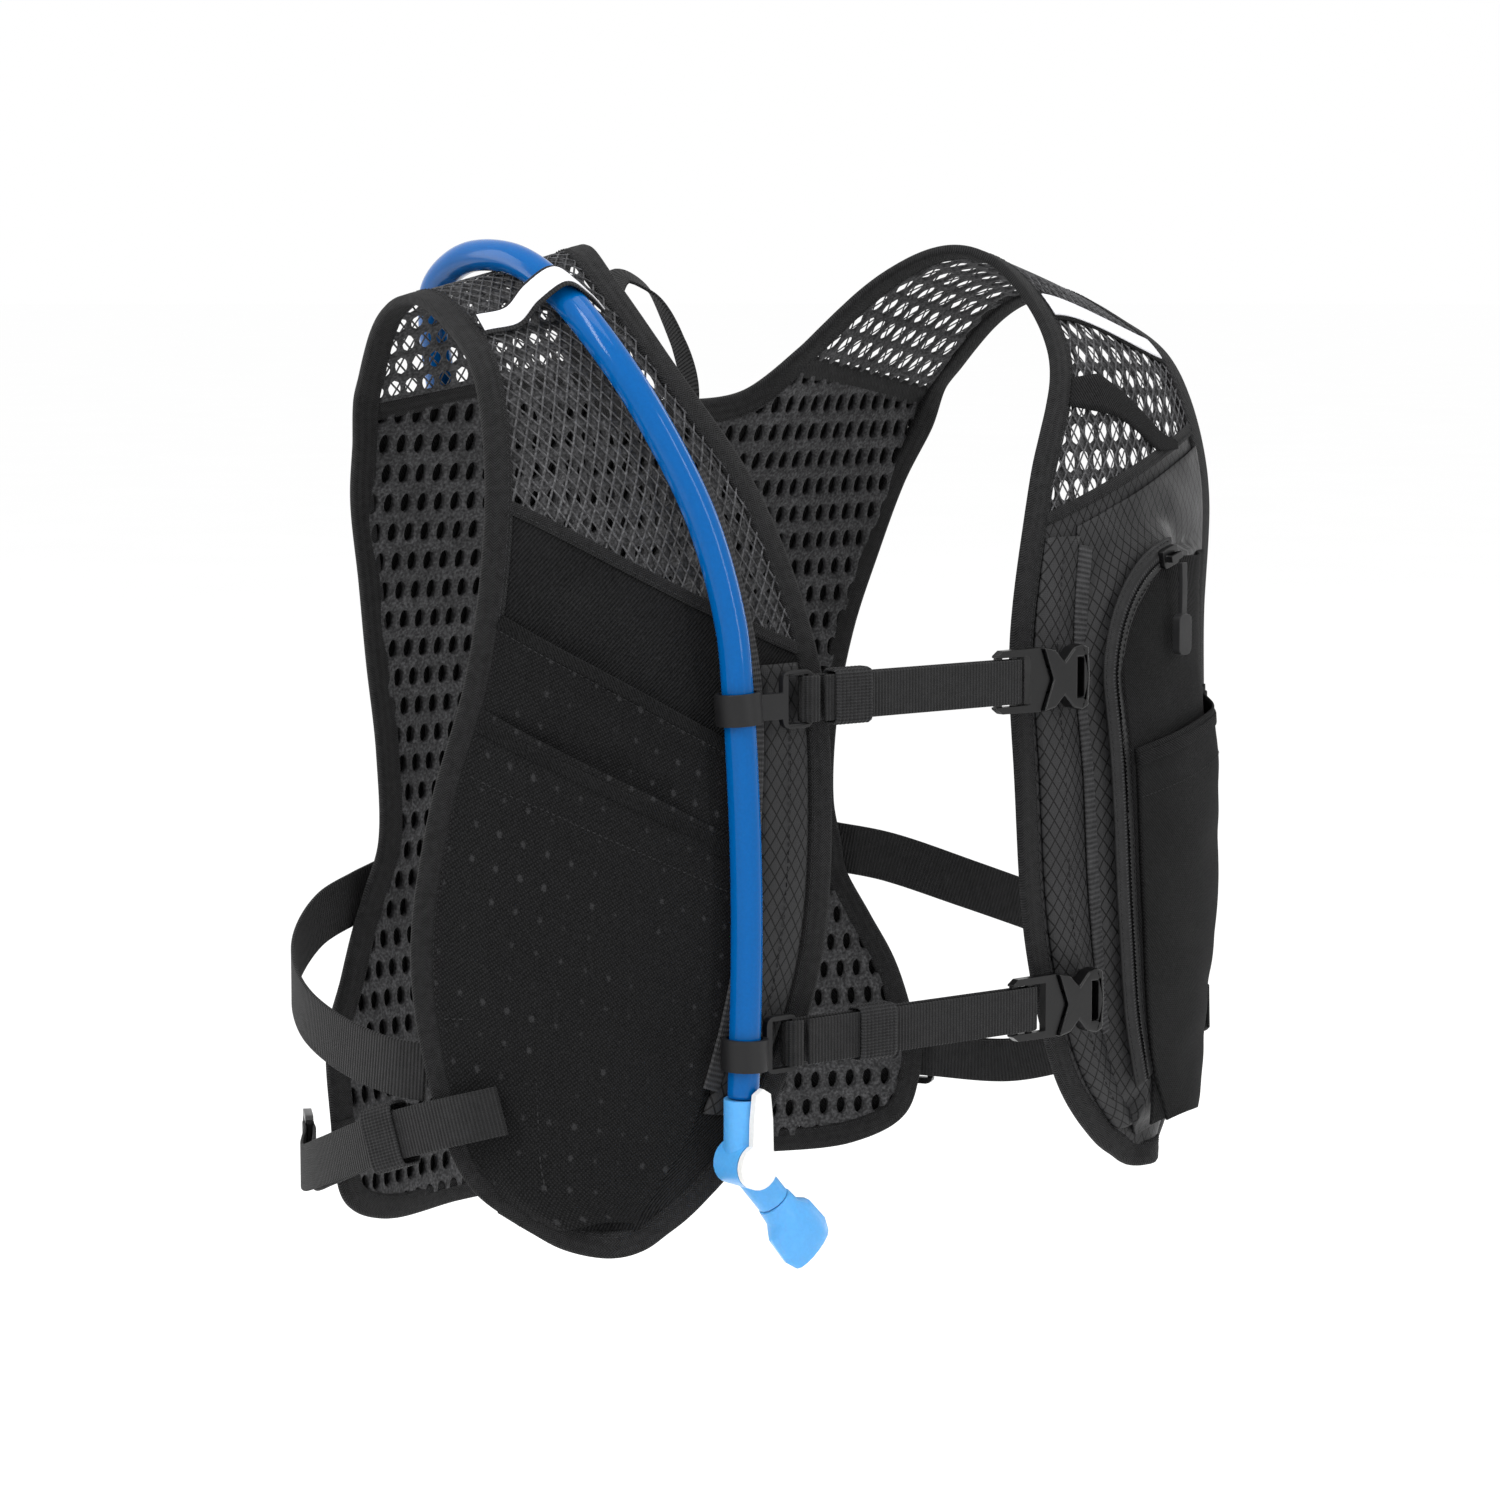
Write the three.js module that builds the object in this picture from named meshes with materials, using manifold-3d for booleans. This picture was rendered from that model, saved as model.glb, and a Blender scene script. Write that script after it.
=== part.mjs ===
// Hydration vest: fabric vest, chest and side straps, zips, reservoir and drinking tube.
// Millimetres, +Z up. The front faces -Y and the wearer's left is +X. The origin lies between
// the tops of the two shoulder arches, and the vest hangs below it.
import * as THREE from 'three';
import { mergeVertices } from 'three/addons/utils/BufferGeometryUtils.js';
import Module from 'manifold-3d';

const wasm = await Module();
wasm.setup();

// ---------------------------------------------------------------- driving dimensions
const GAP = 0.4;                 // clearance between neighbouring pieces
const FABRIC = 2.0;              // thickness of yokes and front panels
const BACK_MESH = 4.0;           // thickness of the perforated back panel
const BINDING = 4.0;             // rolled edge of the binding tape
const WEB = 16.0;                // chest webbing width
const WEB_THICK = 1.2;
const SIDE_WEB = 20.0;           // side strap webbing width
const HOSE_R = 5.5;              // drinking tube radius
const CHEST_Y = -108.0;          // mid-plane of both chest straps
const UPPER_Z = -152.0;          // height of the upper chest strap
const LOWER_Z = -271.0;          // height of the lower chest strap
const FLAT_HALF = 34.0;          // half width of the flat middle of the back panel
const RIPSTOP_LIFT = 0.6;        // gap under the placket and rail tapes

// Stations of one side of the vest, hem to back seam: neck-side edge, then arm-side edge.
const STATIONS = [
  { name: 'hem', neck: [118, -84, -337], arm: [132, -77, -337], bulge: 4 },
  { name: 'corner', neck: [96, -88, -324], arm: [158, -60, -318], bulge: 8 },
  { name: 'low', neck: [72, -94, -296], arm: [169, -52, -290], bulge: 11 },
  { name: 'waist', neck: [54, -99, -246], arm: [178, -51, -240], bulge: 13 },
  { name: 'belly', neck: [49, -99, -190], arm: [174, -56, -190], bulge: 13 },
  { name: 'chest', neck: [51, -94, -140], arm: [164, -65, -140], bulge: 10 },
  { name: 'upper', neck: [68, -85, -86], arm: [160, -70, -86], bulge: 7 },
  { name: 'collar', neck: [92, -69, -42], arm: [155, -58, -45], bulge: 3 },
  { name: 'slope', neck: [97, -40, -12], arm: [149, -33, -26], bulge: 1 },
  { name: 'crown', neck: [90, -14, -1], arm: [145, -3, -16], bulge: 0 },
  { name: 'nape', neck: [78, 14, -12], arm: [141, 25, -25], bulge: 0 },
  { name: 'seam', neck: [50, 34, -43], arm: [132, 55, -58], bulge: 0 },
];
const ROW = Object.fromEntries(STATIONS.map((station, index) => [station.name, index]));
const LAST = STATIONS.length - 1;
const FRONT_TOP = 5.4;           // station where the front panel ends and the yoke begins

// Back panel, neckline to hem: half width and depth of the side edge, depth of the middle.
const BACK_ROWS = [
  { z: -90, half: 125, edge: 66, middle: 60 },
  { z: -120, half: 117, edge: 73.5, middle: 73 },
  { z: -150, half: 110, edge: 80, middle: 83 },
  { z: -185, half: 104, edge: 83, middle: 92 },
  { z: -220, half: 103, edge: 84, middle: 97 },
  { z: -250, half: 112, edge: 87, middle: 97 },
  { z: -290, half: 131, edge: 77, middle: 97 },
  { z: -325, half: 136, edge: 66, middle: 97 },
  { z: -345, half: 130, edge: 69, middle: 97 },
  { z: -355, half: 112, edge: 76, middle: 96 },
];
const NECK_BACK = [[50, 34, -43], [33, 41.5, -53.5], [0, 45, -58]];

// Rear compartment, top to bottom: its round back is an arc of radius r about y = centre.
const BAG_ROWS = [
  { z: -76, r: 190, centre: -112 },
  { z: -84, r: 132, centre: -24 },
  { z: -95, r: 102, centre: 26 },
  { z: -125, r: 102, centre: 26 },
  { z: -150, r: 101, centre: 40 },
  { z: -170, r: 100, centre: 48 },
  { z: -250, r: 103, centre: 52 },
  { z: -310, r: 108, centre: 45 },
  { z: -338, r: 126, centre: 11 },
  { z: -346, r: 150, centre: -30 },
];
const BAG_WALL = 1.5;
const BAG_FRONT = 9.0;           // compartment's front wall behind the back panel's inner face
const REAR_ZIP_Z = -112;

// Drinking tube, hand-chosen route from the connector to the bite valve.
const HOSE_ROUTE = [
  [-65, 112, -243], [-65.5, 112, -225], [-66, 110, -200], [-66.5, 107, -175], [-66, 101, -150],
  [-65.5, 94, -130], [-68, 89, -113], [-72, 86, -98], [-77, 79.5, -81], [-86, 71, -64],
  [-98, 59, -43], [-109, 46, -25], [-116.5, 33, -13], [-120, 17, -5], [-121.5, 0, -1.2],
  [-122, -26, -3], [-121.5, -50, -13.5], [-118.5, -71, -31], [-110.5, -87, -55],
  [-97.5, -98.5, -90], [-90, -104.5, -125], [-88, -106, -150], [-86.6, -106.6, -175],
  [-85.6, -107, -200], [-85.2, -107.2, -225], [-85.4, -107.2, -250], [-86, -107, -272],
  [-86.4, -106.8, -288],
];
const VALVE_AXIS = [-86.4, -106.8];

// ---------------------------------------------------------------- materials
const finish = (color, roughness, metalness = 0) =>
  new THREE.MeshStandardMaterial({ color, roughness, metalness });
const MATERIAL = {
  airMesh: finish(0x2b2b2d, 0.9),
  diamondMesh: finish(0x222224, 0.9),
  stretch: finish(0x1d1d1f, 0.85),
  ripstop: finish(0x2a2a2c, 0.7),
  tape: finish(0x1a1a1c, 0.8),
  webbing: finish(0x19191b, 0.8),
  elastic: finish(0x242426, 0.85),
  foam: finish(0x333336, 0.95),
  plastic: finish(0x141416, 0.4),
  greyPlastic: finish(0x3a3a3c, 0.5),
  label: finish(0xe8e8ea, 0.5),
  zip: finish(0x161618, 0.6),
  tube: finish(0x0a78d8, 0.2),
  valve: finish(0x58b0f0, 0.3),
  lever: finish(0xf2f2f2, 0.35),
  bladder: finish(0x9fc4e0, 0.3),
};

// ---------------------------------------------------------------- geometry helpers
const V = (x, y, z) => new THREE.Vector3(x, y, z);
const fromArray = (a) => V(a[0], a[1], a[2]);
const mix = THREE.MathUtils.lerp;
const steps = (from, to, count) =>
  Array.from({ length: count + 1 }, (_, index) => mix(from, to, index / count));
const mirrorX = (p) => V(-p.x, p.y, p.z);

function table(rows, key, at, where = 'z') {
  // Straight-line value of rows[key] at a given rows[where]; rows run downwards in z.
  for (let i = 0; i < rows.length - 1; i += 1) {
    const a = rows[i];
    const b = rows[i + 1];
    if (at >= b[where]) {
      const f = THREE.MathUtils.clamp((a[where] - at) / (a[where] - b[where]), 0, 1);
      return mix(a[key], b[key], f);
    }
  }
  return rows[rows.length - 1][key];
}

function solid(points, triangles) {
  // Closed body from shared points; turned inside out when its volume comes out negative.
  let volume = 0;
  for (const [a, b, c] of triangles) {
    volume += points[a].dot(points[b].clone().cross(points[c]));
  }
  const index = volume < 0 ? triangles.map(([a, b, c]) => [a, c, b]) : triangles;
  const geometry = new THREE.BufferGeometry();
  const position = points.flatMap((p) => [p.x, p.y, p.z]);
  geometry.setAttribute('position', new THREE.Float32BufferAttribute(position, 3));
  geometry.setIndex(index.flat());
  geometry.computeVertexNormals();
  return geometry;
}

function gridSolid(columns, rows, low, high) {
  // Slab between two point grids low(u, v) and high(u, v), closed all round its rim.
  const points = [];
  const id = [[], []];
  [low, high].forEach((surface, side) => {
    columns.forEach((u, i) => {
      id[side][i] = rows.map((v) => points.push(surface(u, v)) - 1);
    });
  });
  const [a, b] = id;
  const faces = [];
  const quad = (p, q, r, s) => faces.push([p, q, r], [p, r, s]);
  const m = columns.length - 1;
  const n = rows.length - 1;
  for (let i = 0; i < m; i += 1) {
    for (let j = 0; j < n; j += 1) {
      quad(a[i][j], a[i][j + 1], a[i + 1][j + 1], a[i + 1][j]);
      quad(b[i][j], b[i + 1][j], b[i + 1][j + 1], b[i][j + 1]);
    }
  }
  for (let i = 0; i < m; i += 1) {
    quad(a[i][0], a[i + 1][0], b[i + 1][0], b[i][0]);
    quad(a[i + 1][n], a[i][n], b[i][n], b[i + 1][n]);
  }
  for (let j = 0; j < n; j += 1) {
    quad(a[0][j + 1], a[0][j], b[0][j], b[0][j + 1]);
    quad(a[m][j], a[m][j + 1], b[m][j + 1], b[m][j]);
  }
  return solid(points, faces);
}

function ribbon(path, across, width, thickness) {
  // Flat band swept along path; across(i) is its width direction at point i.
  const corners = path.map((p, i) => {
    const ahead = path[Math.min(i + 1, path.length - 1)];
    const behind = path[Math.max(i - 1, 0)];
    const along = ahead.clone().sub(behind).normalize();
    const side = across(i).clone();
    side.addScaledVector(along, -side.dot(along)).normalize();
    const up = along.clone().cross(side).normalize();
    const corner = (s, t) => p.clone()
      .addScaledVector(side, s * width / 2).addScaledVector(up, t * thickness / 2);
    return [corner(-1, -1), corner(1, -1), corner(1, 1), corner(-1, 1)];
  });
  const points = corners.flat();
  const faces = [];
  for (let i = 0; i < path.length - 1; i += 1) {
    for (let k = 0; k < 4; k += 1) {
      const a = 4 * i + k;
      const b = 4 * i + (k + 1) % 4;
      faces.push([a, b, b + 4], [a, b + 4, a + 4]);
    }
  }
  const end = 4 * (path.length - 1);
  faces.push([0, 2, 1], [0, 3, 2], [end, end + 1, end + 2], [end, end + 2, end + 3]);
  return solid(points, faces);
}

const smooth = (points, count, tension = 0.5) =>
  new THREE.CatmullRomCurve3(points, false, 'catmullrom', tension).getPoints(count);

function welded(geometry) {
  // The same shape with its shared corners merged and its empty triangles dropped.
  const bare = geometry.clone();
  bare.deleteAttribute('normal');
  bare.deleteAttribute('uv');
  const merged = mergeVertices(bare, 1e-4);
  const index = [];
  for (let i = 0; i < merged.index.count; i += 3) {
    const [a, b, c] = [0, 1, 2].map((k) => merged.index.getX(i + k));
    if (a !== b && b !== c && c !== a) index.push(a, b, c);
  }
  merged.setIndex(index);
  return merged;
}

function plate(outline, thickness, windows = []) {
  // Outline in the XZ plane, extruded along Y about y = 0; a window is [x0, x1, z0, z1].
  const shape = new THREE.Shape(outline.map(([x, z]) => new THREE.Vector2(x, z)));
  const geometry = new THREE.ExtrudeGeometry(shape, { depth: thickness, bevelEnabled: false });
  geometry.translate(0, 0, -thickness / 2);
  geometry.rotateX(Math.PI / 2);
  const blank = welded(geometry);
  const tools = windows.map(([x0, x1, z0, z1]) =>
    box(x1 - x0, thickness + 2, z1 - z0).translate((x0 + x1) / 2, 0, (z0 + z1) / 2));
  return windows.length ? cut(blank, ...tools) : blank;
}

const box = (x, y, z) => welded(new THREE.BoxGeometry(x, y, z));

function roundRectangle(x0, x1, z0, z1, r, sides = 3) {
  const corner = (cx, cz, start) => steps(0, 1, sides).map((f) => {
    const angle = start + f * Math.PI / 2;
    return [cx + r * Math.cos(angle), cz + r * Math.sin(angle)];
  });
  return [
    ...corner(x1 - r, z0 + r, -Math.PI / 2), ...corner(x1 - r, z1 - r, 0),
    ...corner(x0 + r, z1 - r, Math.PI / 2), ...corner(x0 + r, z0 + r, Math.PI),
  ];
}

function lathe(profile, segments = 20) {
  // Turned body about +Y; the profile lists [radius, height] pairs.
  const outline = profile.map(([r, h]) => new THREE.Vector2(r, h));
  return welded(new THREE.LatheGeometry(outline, segments));
}

const disc = (r, h0, h1, segments = 20) =>
  lathe([[0, h0], [r, h0], [r, h1], [0, h1]], segments);
const ring = (inner, outer, h0, h1, segments = 20) =>
  lathe([[inner, h0], [outer, h0], [outer, h1], [inner, h1], [inner, h0]], segments);

function place(geometry, at, axis = V(0, 1, 0)) {
  // Moves a turned body so that its +Y axis lies along axis and its origin at the point at.
  const turn = new THREE.Quaternion().setFromUnitVectors(V(0, 1, 0), axis.clone().normalize());
  geometry.applyQuaternion(turn);
  geometry.translate(at.x, at.y, at.z);
  return geometry;
}

function manifold(geometry) {
  const at = geometry.attributes.position;
  const points = Array.from({ length: at.count }, (_, i) => V(at.getX(i), at.getY(i), at.getZ(i)));
  const faces = [];
  for (let i = 0; i < geometry.index.count; i += 3) {
    faces.push([0, 1, 2].map((k) => geometry.index.getX(i + k)));
  }
  const outward = solid(points, faces);
  return new wasm.Manifold(new wasm.Mesh({
    numProp: 3,
    vertProperties: new Float32Array(outward.attributes.position.array),
    triVerts: new Uint32Array(outward.index.array),
  }));
}

function geometryOf(body) {
  const mesh = body.getMesh();
  const geometry = new THREE.BufferGeometry();
  const position = new THREE.Float32BufferAttribute(mesh.vertProperties, 3);
  geometry.setAttribute('position', position);
  geometry.setIndex(Array.from(mesh.triVerts));
  geometry.computeVertexNormals();
  return geometry;
}

const join = (...parts) => geometryOf(parts.map(manifold).reduce((a, b) => a.add(b)));
const cut = (body, ...tools) =>
  geometryOf(tools.reduce((rest, tool) => rest.subtract(manifold(tool)), manifold(body)));

// ---------------------------------------------------------------- the object
const vest = new THREE.Group();

function add(name, geometry, material) {
  const mesh = new THREE.Mesh(geometry, material);
  mesh.name = name;
  vest.add(mesh);
}

const SIDES = [{ name: 'left', mirrored: false }, { name: 'right', mirrored: true }];
const onSide = (side, p) => (side.mirrored ? mirrorX(p) : p);

// ---------------------------------------------------------------- side strip of the vest
const neckEdge = new THREE.CatmullRomCurve3(STATIONS.map((s) => fromArray(s.neck)));
const armEdge = new THREE.CatmullRomCurve3(STATIONS.map((s) => fromArray(s.arm)));
neckEdge.curveType = 'catmullrom';
armEdge.curveType = 'catmullrom';
const neckAt = (row) => neckEdge.getPoint(THREE.MathUtils.clamp(row / LAST, 0, 1));
const armAt = (row) => armEdge.getPoint(THREE.MathUtils.clamp(row / LAST, 0, 1));

function bulgeAt(row) {
  const low = Math.min(Math.floor(row), LAST - 1);
  return mix(STATIONS[low].bulge, STATIONS[low + 1].bulge, row - low);
}

function stripBase(u, row) {
  const neck = neckAt(row);
  const arm = armAt(row);
  const near = Math.min(row, LAST - 0.05);
  const middle = (r) => neckAt(r).lerp(armAt(r), 0.5);
  const along = middle(near + 0.05).sub(middle(near));
  const out = arm.clone().sub(neck).cross(along).normalize();
  return neck.lerp(arm, u).addScaledVector(out, bulgeAt(row) * 4 * u * (1 - u));
}

function strip(u, row, lift) {
  // Point of the left-hand strip, lifted off its body side by lift along the surface normal.
  const step = 0.02;
  const u0 = Math.max(u - step, 0);
  const r0 = THREE.MathUtils.clamp(row - step, 0, LAST - 2 * step);
  const du = stripBase(u0 + 2 * step, row).sub(stripBase(u0, row));
  const dr = stripBase(u, r0 + 2 * step).sub(stripBase(u, r0));
  return stripBase(u, row).addScaledVector(du.cross(dr).normalize(), lift);
}

function rowAtHeight(u, z) {
  // Station on the front of the strip where it has height z.
  let low = 0;
  let high = ROW.slope;
  for (let i = 0; i < 30; i += 1) {
    const middle = (low + high) / 2;
    if (stripBase(u, middle).z < z) low = middle; else high = middle;
  }
  return (low + high) / 2;
}

function patch(side, columns, rows, lift, thickness) {
  const value = (f, u, row) => (typeof f === 'function' ? f(u, row) : f);
  const low = (u, row) => onSide(side, strip(u, row, value(lift, u, row)));
  const high = (u, row) => onSide(side, strip(u, row, value(lift, u, row) + thickness));
  return gridSolid(columns, rows, low, high);
}

function stripBand(side, u, from, to, count, lift, width, thickness) {
  // Tape along the strip at a fixed or varying fraction u of its width.
  const uAt = typeof u === 'function' ? u : () => u;
  const rows = steps(from, to, count);
  const path = rows.map((row) => onSide(side, strip(uAt(row), row, lift)));
  const across = rows.map((row) =>
    onSide(side, strip(uAt(row) + 0.03, row, lift).sub(strip(uAt(row) - 0.03, row, lift))));
  return ribbon(path, (i) => across[i], width, thickness);
}

// ---------------------------------------------------------------- yokes and front panels
const PANEL_COLUMNS = steps(0, 1, 6);
for (const side of SIDES) {
  add(`front_panel_${side.name}`,
    patch(side, PANEL_COLUMNS, [...steps(0, 2, 6), ...steps(2.5, FRONT_TOP, 6)], 0, FABRIC),
    MATERIAL.stretch);
  add(`shoulder_yoke_${side.name}`,
    patch(side, steps(0, 1, 4), steps(FRONT_TOP + 0.02, LAST - 0.04, 12), 0, FABRIC),
    MATERIAL.diamondMesh);
}

// Folded ripstop plackets beside the neck edge, and the ladder tapes that the straps ride on.
const placketU = (row) => mix(0.07, 0.105, THREE.MathUtils.clamp((row - 2) / 2, 0, 1));
const PLACKET_END = { left: 1.2, right: 2.4 };
const PLACKET_WIDTH = { left: 14, right: 11 };
for (const side of SIDES) {
  add(`placket_${side.name}`,
    stripBand(side, placketU, PLACKET_END[side.name], 5.5, 12, FABRIC + RIPSTOP_LIFT + 1.5,
      PLACKET_WIDTH[side.name], 3),
    MATERIAL.ripstop);
  add(`rail_tape_${side.name}`,
    stripBand(side, 0.2, 3, 6.2, 9, FABRIC + RIPSTOP_LIFT, 5.5, 1), MATERIAL.tape);
}

// Stretch pockets on the right panel: two overlapping layers with slanting hems.
const RIGHT = SIDES[1];
const LEFT = SIDES[0];

function pocket(side, u0, u1, bottomRow, hemAt, base, depth, columns = 6, rows = 6) {
  // Stretch layer that lies close to its base at its edges and stands off towards its hem.
  const topRow = (u) => rowAtHeight(u, hemAt(u));
  const row = (u, f) => mix(bottomRow, topRow(u), f);
  const belly = (u, f) => {
    const across = Math.sin(Math.PI * (u - u0) / (u1 - u0));
    return base + depth * across * Math.sin(Math.PI * (0.08 + 0.52 * f));
  };
  const low = (u, f) => onSide(side, strip(u, row(u, f), belly(u, f)));
  const high = (u, f) => onSide(side, strip(u, row(u, f), belly(u, f) + 1.2));
  return gridSolid(steps(u0, u1, columns), steps(0, 1, rows), low, high);
}

const POCKET_U = 0.42;
const lowerHem = (u) => mix(-213, -151, u);
const upperHem = (u) => mix(-184, -120, u);
add('pocket_right_lower', pocket(RIGHT, POCKET_U, 0.97, 0.9, lowerHem, FABRIC + GAP, 6),
  MATERIAL.stretch);
add('pocket_right_upper',
  gridSolid(steps(POCKET_U, 0.97, 6), steps(0, 1, 3),
    (u, f) => onSide(RIGHT, strip(u, rowAtHeight(u, mix(lowerHem(u) + 1.5, upperHem(u), f)),
      FABRIC + GAP + 4 * Math.sin(Math.PI * (u - POCKET_U) / (0.97 - POCKET_U)) * mix(0.9, 1, f))),
    (u, f) => onSide(RIGHT, strip(u, rowAtHeight(u, mix(lowerHem(u) + 1.5, upperHem(u), f)),
      FABRIC + GAP + 1.2 + 4 * Math.sin(Math.PI * (u - POCKET_U) / (0.97 - POCKET_U)) * mix(0.9, 1, f)))),
  MATERIAL.stretch);

// ---------------------------------------------------------------- zipped pocket on the left
// The zip runs down the panel and swings outwards along a quarter circle at its top.
const ZIP_R = 44;
const ZIP_U = 0.28;
const zipFoot = strip(ZIP_U, rowAtHeight(ZIP_U, -155), FABRIC + 8.2);
const zipPlan = THREE.MathUtils.degToRad(14);
const zipAcross = V(Math.cos(zipPlan), Math.sin(zipPlan), 0);
const zipNormal = V(Math.sin(zipPlan), -Math.cos(zipPlan), 0);
const zipCentre = zipFoot.clone().addScaledVector(zipAcross, ZIP_R);
const ZIP_SWEEP = 80;
const zipArc = (degrees, r = ZIP_R) => {
  const angle = THREE.MathUtils.degToRad(degrees);
  return zipCentre.clone().addScaledVector(zipAcross, -r * Math.cos(angle))
    .add(V(0, 0, r * Math.sin(angle)));
};
const zipLower = [-180, -205, -230, -255, -280].map((z) =>
  strip(ZIP_U, rowAtHeight(ZIP_U, z), FABRIC + 8.2));

const PHONE_U = 0.235;
const phoneLift = (u) => FABRIC + GAP + 4.2 * Math.sin(Math.PI * THREE.MathUtils.clamp(
  (u - PHONE_U) / (0.97 - PHONE_U), 0, 1)) ** 0.5;
add('phone_pocket_left',
  gridSolid(steps(PHONE_U, 0.97, 8), steps(0.9, 5.6, 9),
    (u, row) => strip(u, row, FABRIC + GAP),
    (u, row) => strip(u, row, phoneLift(u) + 1)),
  MATERIAL.stretch);

const zipPath = [...zipLower.slice().reverse(), ...steps(0, ZIP_SWEEP + 4, 10).map((d) => zipArc(d))];
add('front_zip_track',
  ribbon(zipPath, (i) => {
    const along = zipPath[Math.min(i + 1, zipPath.length - 1)].clone()
      .sub(zipPath[Math.max(i - 1, 0)]);
    return along.cross(zipNormal);
  }, 7, 1.2),
  MATERIAL.zip);

function zipSlider(at, along, out) {
  // Slider body with a bridge on top that its pull hangs from.
  const frame = new THREE.Matrix4().makeBasis(along, out.clone().cross(along), out);
  const body = plate(roundRectangle(-5, 5, -3.6, 3.6, 1.5), 2.4);
  body.rotateX(-Math.PI / 2);
  const post = box(1.4, 2.4, 2.2);
  post.translate(-3, 0, 2);
  const farPost = box(1.4, 2.4, 2.2);
  farPost.translate(3, 0, 2);
  const bar = box(7.4, 2.4, 1);
  bar.translate(0, 0, 3.4);
  const joined = join(body, post, farPost, bar);
  joined.applyMatrix4(frame);
  joined.translate(at.x, at.y, at.z);
  return joined;
}

const sliderAt = zipArc(ZIP_SWEEP - 4).addScaledVector(zipNormal, 0.6 + GAP + 1.2);
const sliderAlong = zipArc(ZIP_SWEEP).sub(zipArc(ZIP_SWEEP - 8)).normalize();
add('front_zip_slider', zipSlider(sliderAt, sliderAlong, zipNormal), MATERIAL.plastic);

function cordPull(hang, side, out, drop, tabLong) {
  // Cord loop and moulded tab that hang under a slider's bridge.
  const loop = [
    hang.clone().addScaledVector(out, 1.6).addScaledVector(V(0, 0, 1), -2),
    hang.clone().addScaledVector(out, 1.9).addScaledVector(V(0, 0, 1), -drop * 0.5),
    hang.clone().addScaledVector(out, 1.7).addScaledVector(V(0, 0, 1), -drop),
  ];
  const cord = ribbon(smooth(loop, 5), () => side, 3.4, 1.8);
  const tab = plate(roundRectangle(-4.2, 4.2, -tabLong, 0, 2.5), 3.2);
  tab.applyMatrix4(new THREE.Matrix4().makeBasis(side, out.clone().negate(), V(0, 0, 1)));
  tab.translate(...hang.clone().addScaledVector(out, 1.7)
    .addScaledVector(V(0, 0, 1), 1 - drop).toArray());
  return join(cord, tab);
}

const frontHang = sliderAt.clone().addScaledVector(zipNormal, 4.1 + GAP);
add('front_zip_pull', cordPull(frontHang, zipAcross, zipNormal, 22, 15), MATERIAL.plastic);

// Stretch pocket outside the zipped one, with a slanting hem.
const STRETCH_U = 0.34;
const leftHem = (u) => mix(-190, -164, u);
add('pocket_left_stretch',
  gridSolid(steps(STRETCH_U, 0.97, 7), steps(0, 1, 6),
    (u, f) => strip(u, mix(0.9, rowAtHeight(u, leftHem(u)), f), phoneLift(u) + 1.3 + GAP
      + 5 * Math.sin(Math.PI * (u - STRETCH_U) / (0.97 - STRETCH_U)) * Math.sin(Math.PI * (0.06 + 0.5 * f))),
    (u, f) => strip(u, mix(0.9, rowAtHeight(u, leftHem(u)), f), phoneLift(u) + 2.5 + GAP
      + 5 * Math.sin(Math.PI * (u - STRETCH_U) / (0.97 - STRETCH_U)) * Math.sin(Math.PI * (0.06 + 0.5 * f)))),
  MATERIAL.stretch);

// ---------------------------------------------------------------- back panel
const BACK_FRACTIONS = [-1, -0.82, -0.6, -0.4, 'flat-', 'flat+', 0.4, 0.6, 0.82, 1];

function backX(column, z) {
  if (column === 'flat-') return -FLAT_HALF;
  if (column === 'flat+') return FLAT_HALF;
  return column * table(BACK_ROWS, 'half', z);
}

function backDepth(x, z) {
  // Depth of the back panel's inner face: flat in the middle, wrapped forward at the sides.
  const half = table(BACK_ROWS, 'half', z);
  const side = THREE.MathUtils.clamp((Math.abs(x) - FLAT_HALF) / (half - FLAT_HALF), 0, 1);
  return mix(table(BACK_ROWS, 'middle', z), table(BACK_ROWS, 'edge', z), side ** 1.5);
}

function backTop(column) {
  // Neckline and shoulder seams, which the panel's top edge follows.
  const seam = STATIONS[LAST];
  const fraction = typeof column === 'number' ? Math.abs(column) : 0;
  const p = fraction ? fromArray(seam.neck).lerp(fromArray(seam.arm), (fraction - 0.4) / 0.6)
    : V(FLAT_HALF, 45, -59);
  const sign = column === 'flat-' || column < 0 ? -1 : 1;
  return V(sign * p.x, p.y + 0.5, p.z - 2);
}

const backRows = ['top', ...BACK_ROWS.map((row) => row.z)];

function backGrid(lift) {
  return (column, row) => {
    const p = row === 'top' ? backTop(column)
      : V(backX(column, row), backDepth(backX(column, row), row), row);
    return p.add(V(0, lift, 0));
  };
}

add('back_panel_mesh', gridSolid(BACK_FRACTIONS, backRows, backGrid(0), backGrid(BACK_MESH)),
  MATERIAL.airMesh);
add('back_foam_sheet',
  gridSolid([-0.6, -0.4, 'flat-', 'flat+', 0.4, 0.6], BACK_ROWS.slice(0, 8).map((row) => row.z),
    backGrid(BACK_MESH + GAP), backGrid(BAG_FRONT - 3 * GAP)),
  MATERIAL.foam);

// ---------------------------------------------------------------- edge bindings
const away = BINDING / 2 + 2 * GAP;

function edgeStop(edgeAt, row) {
  // Edge point and the direction out of the fabric, square to the edge.
  const at = edgeAt(row);
  const along = edgeAt(Math.min(row + 0.05, LAST)).sub(edgeAt(row - 0.05)).normalize();
  const out = at.clone().sub(stripBase(0.5, Math.min(row + 0.6 * Math.max(0, 1 - row), LAST)));
  out.addScaledVector(along, -out.dot(along)).normalize();
  return { at, out, extra: 1.2 * THREE.MathUtils.clamp(2.4 - row, 0, 1) };
}

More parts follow.
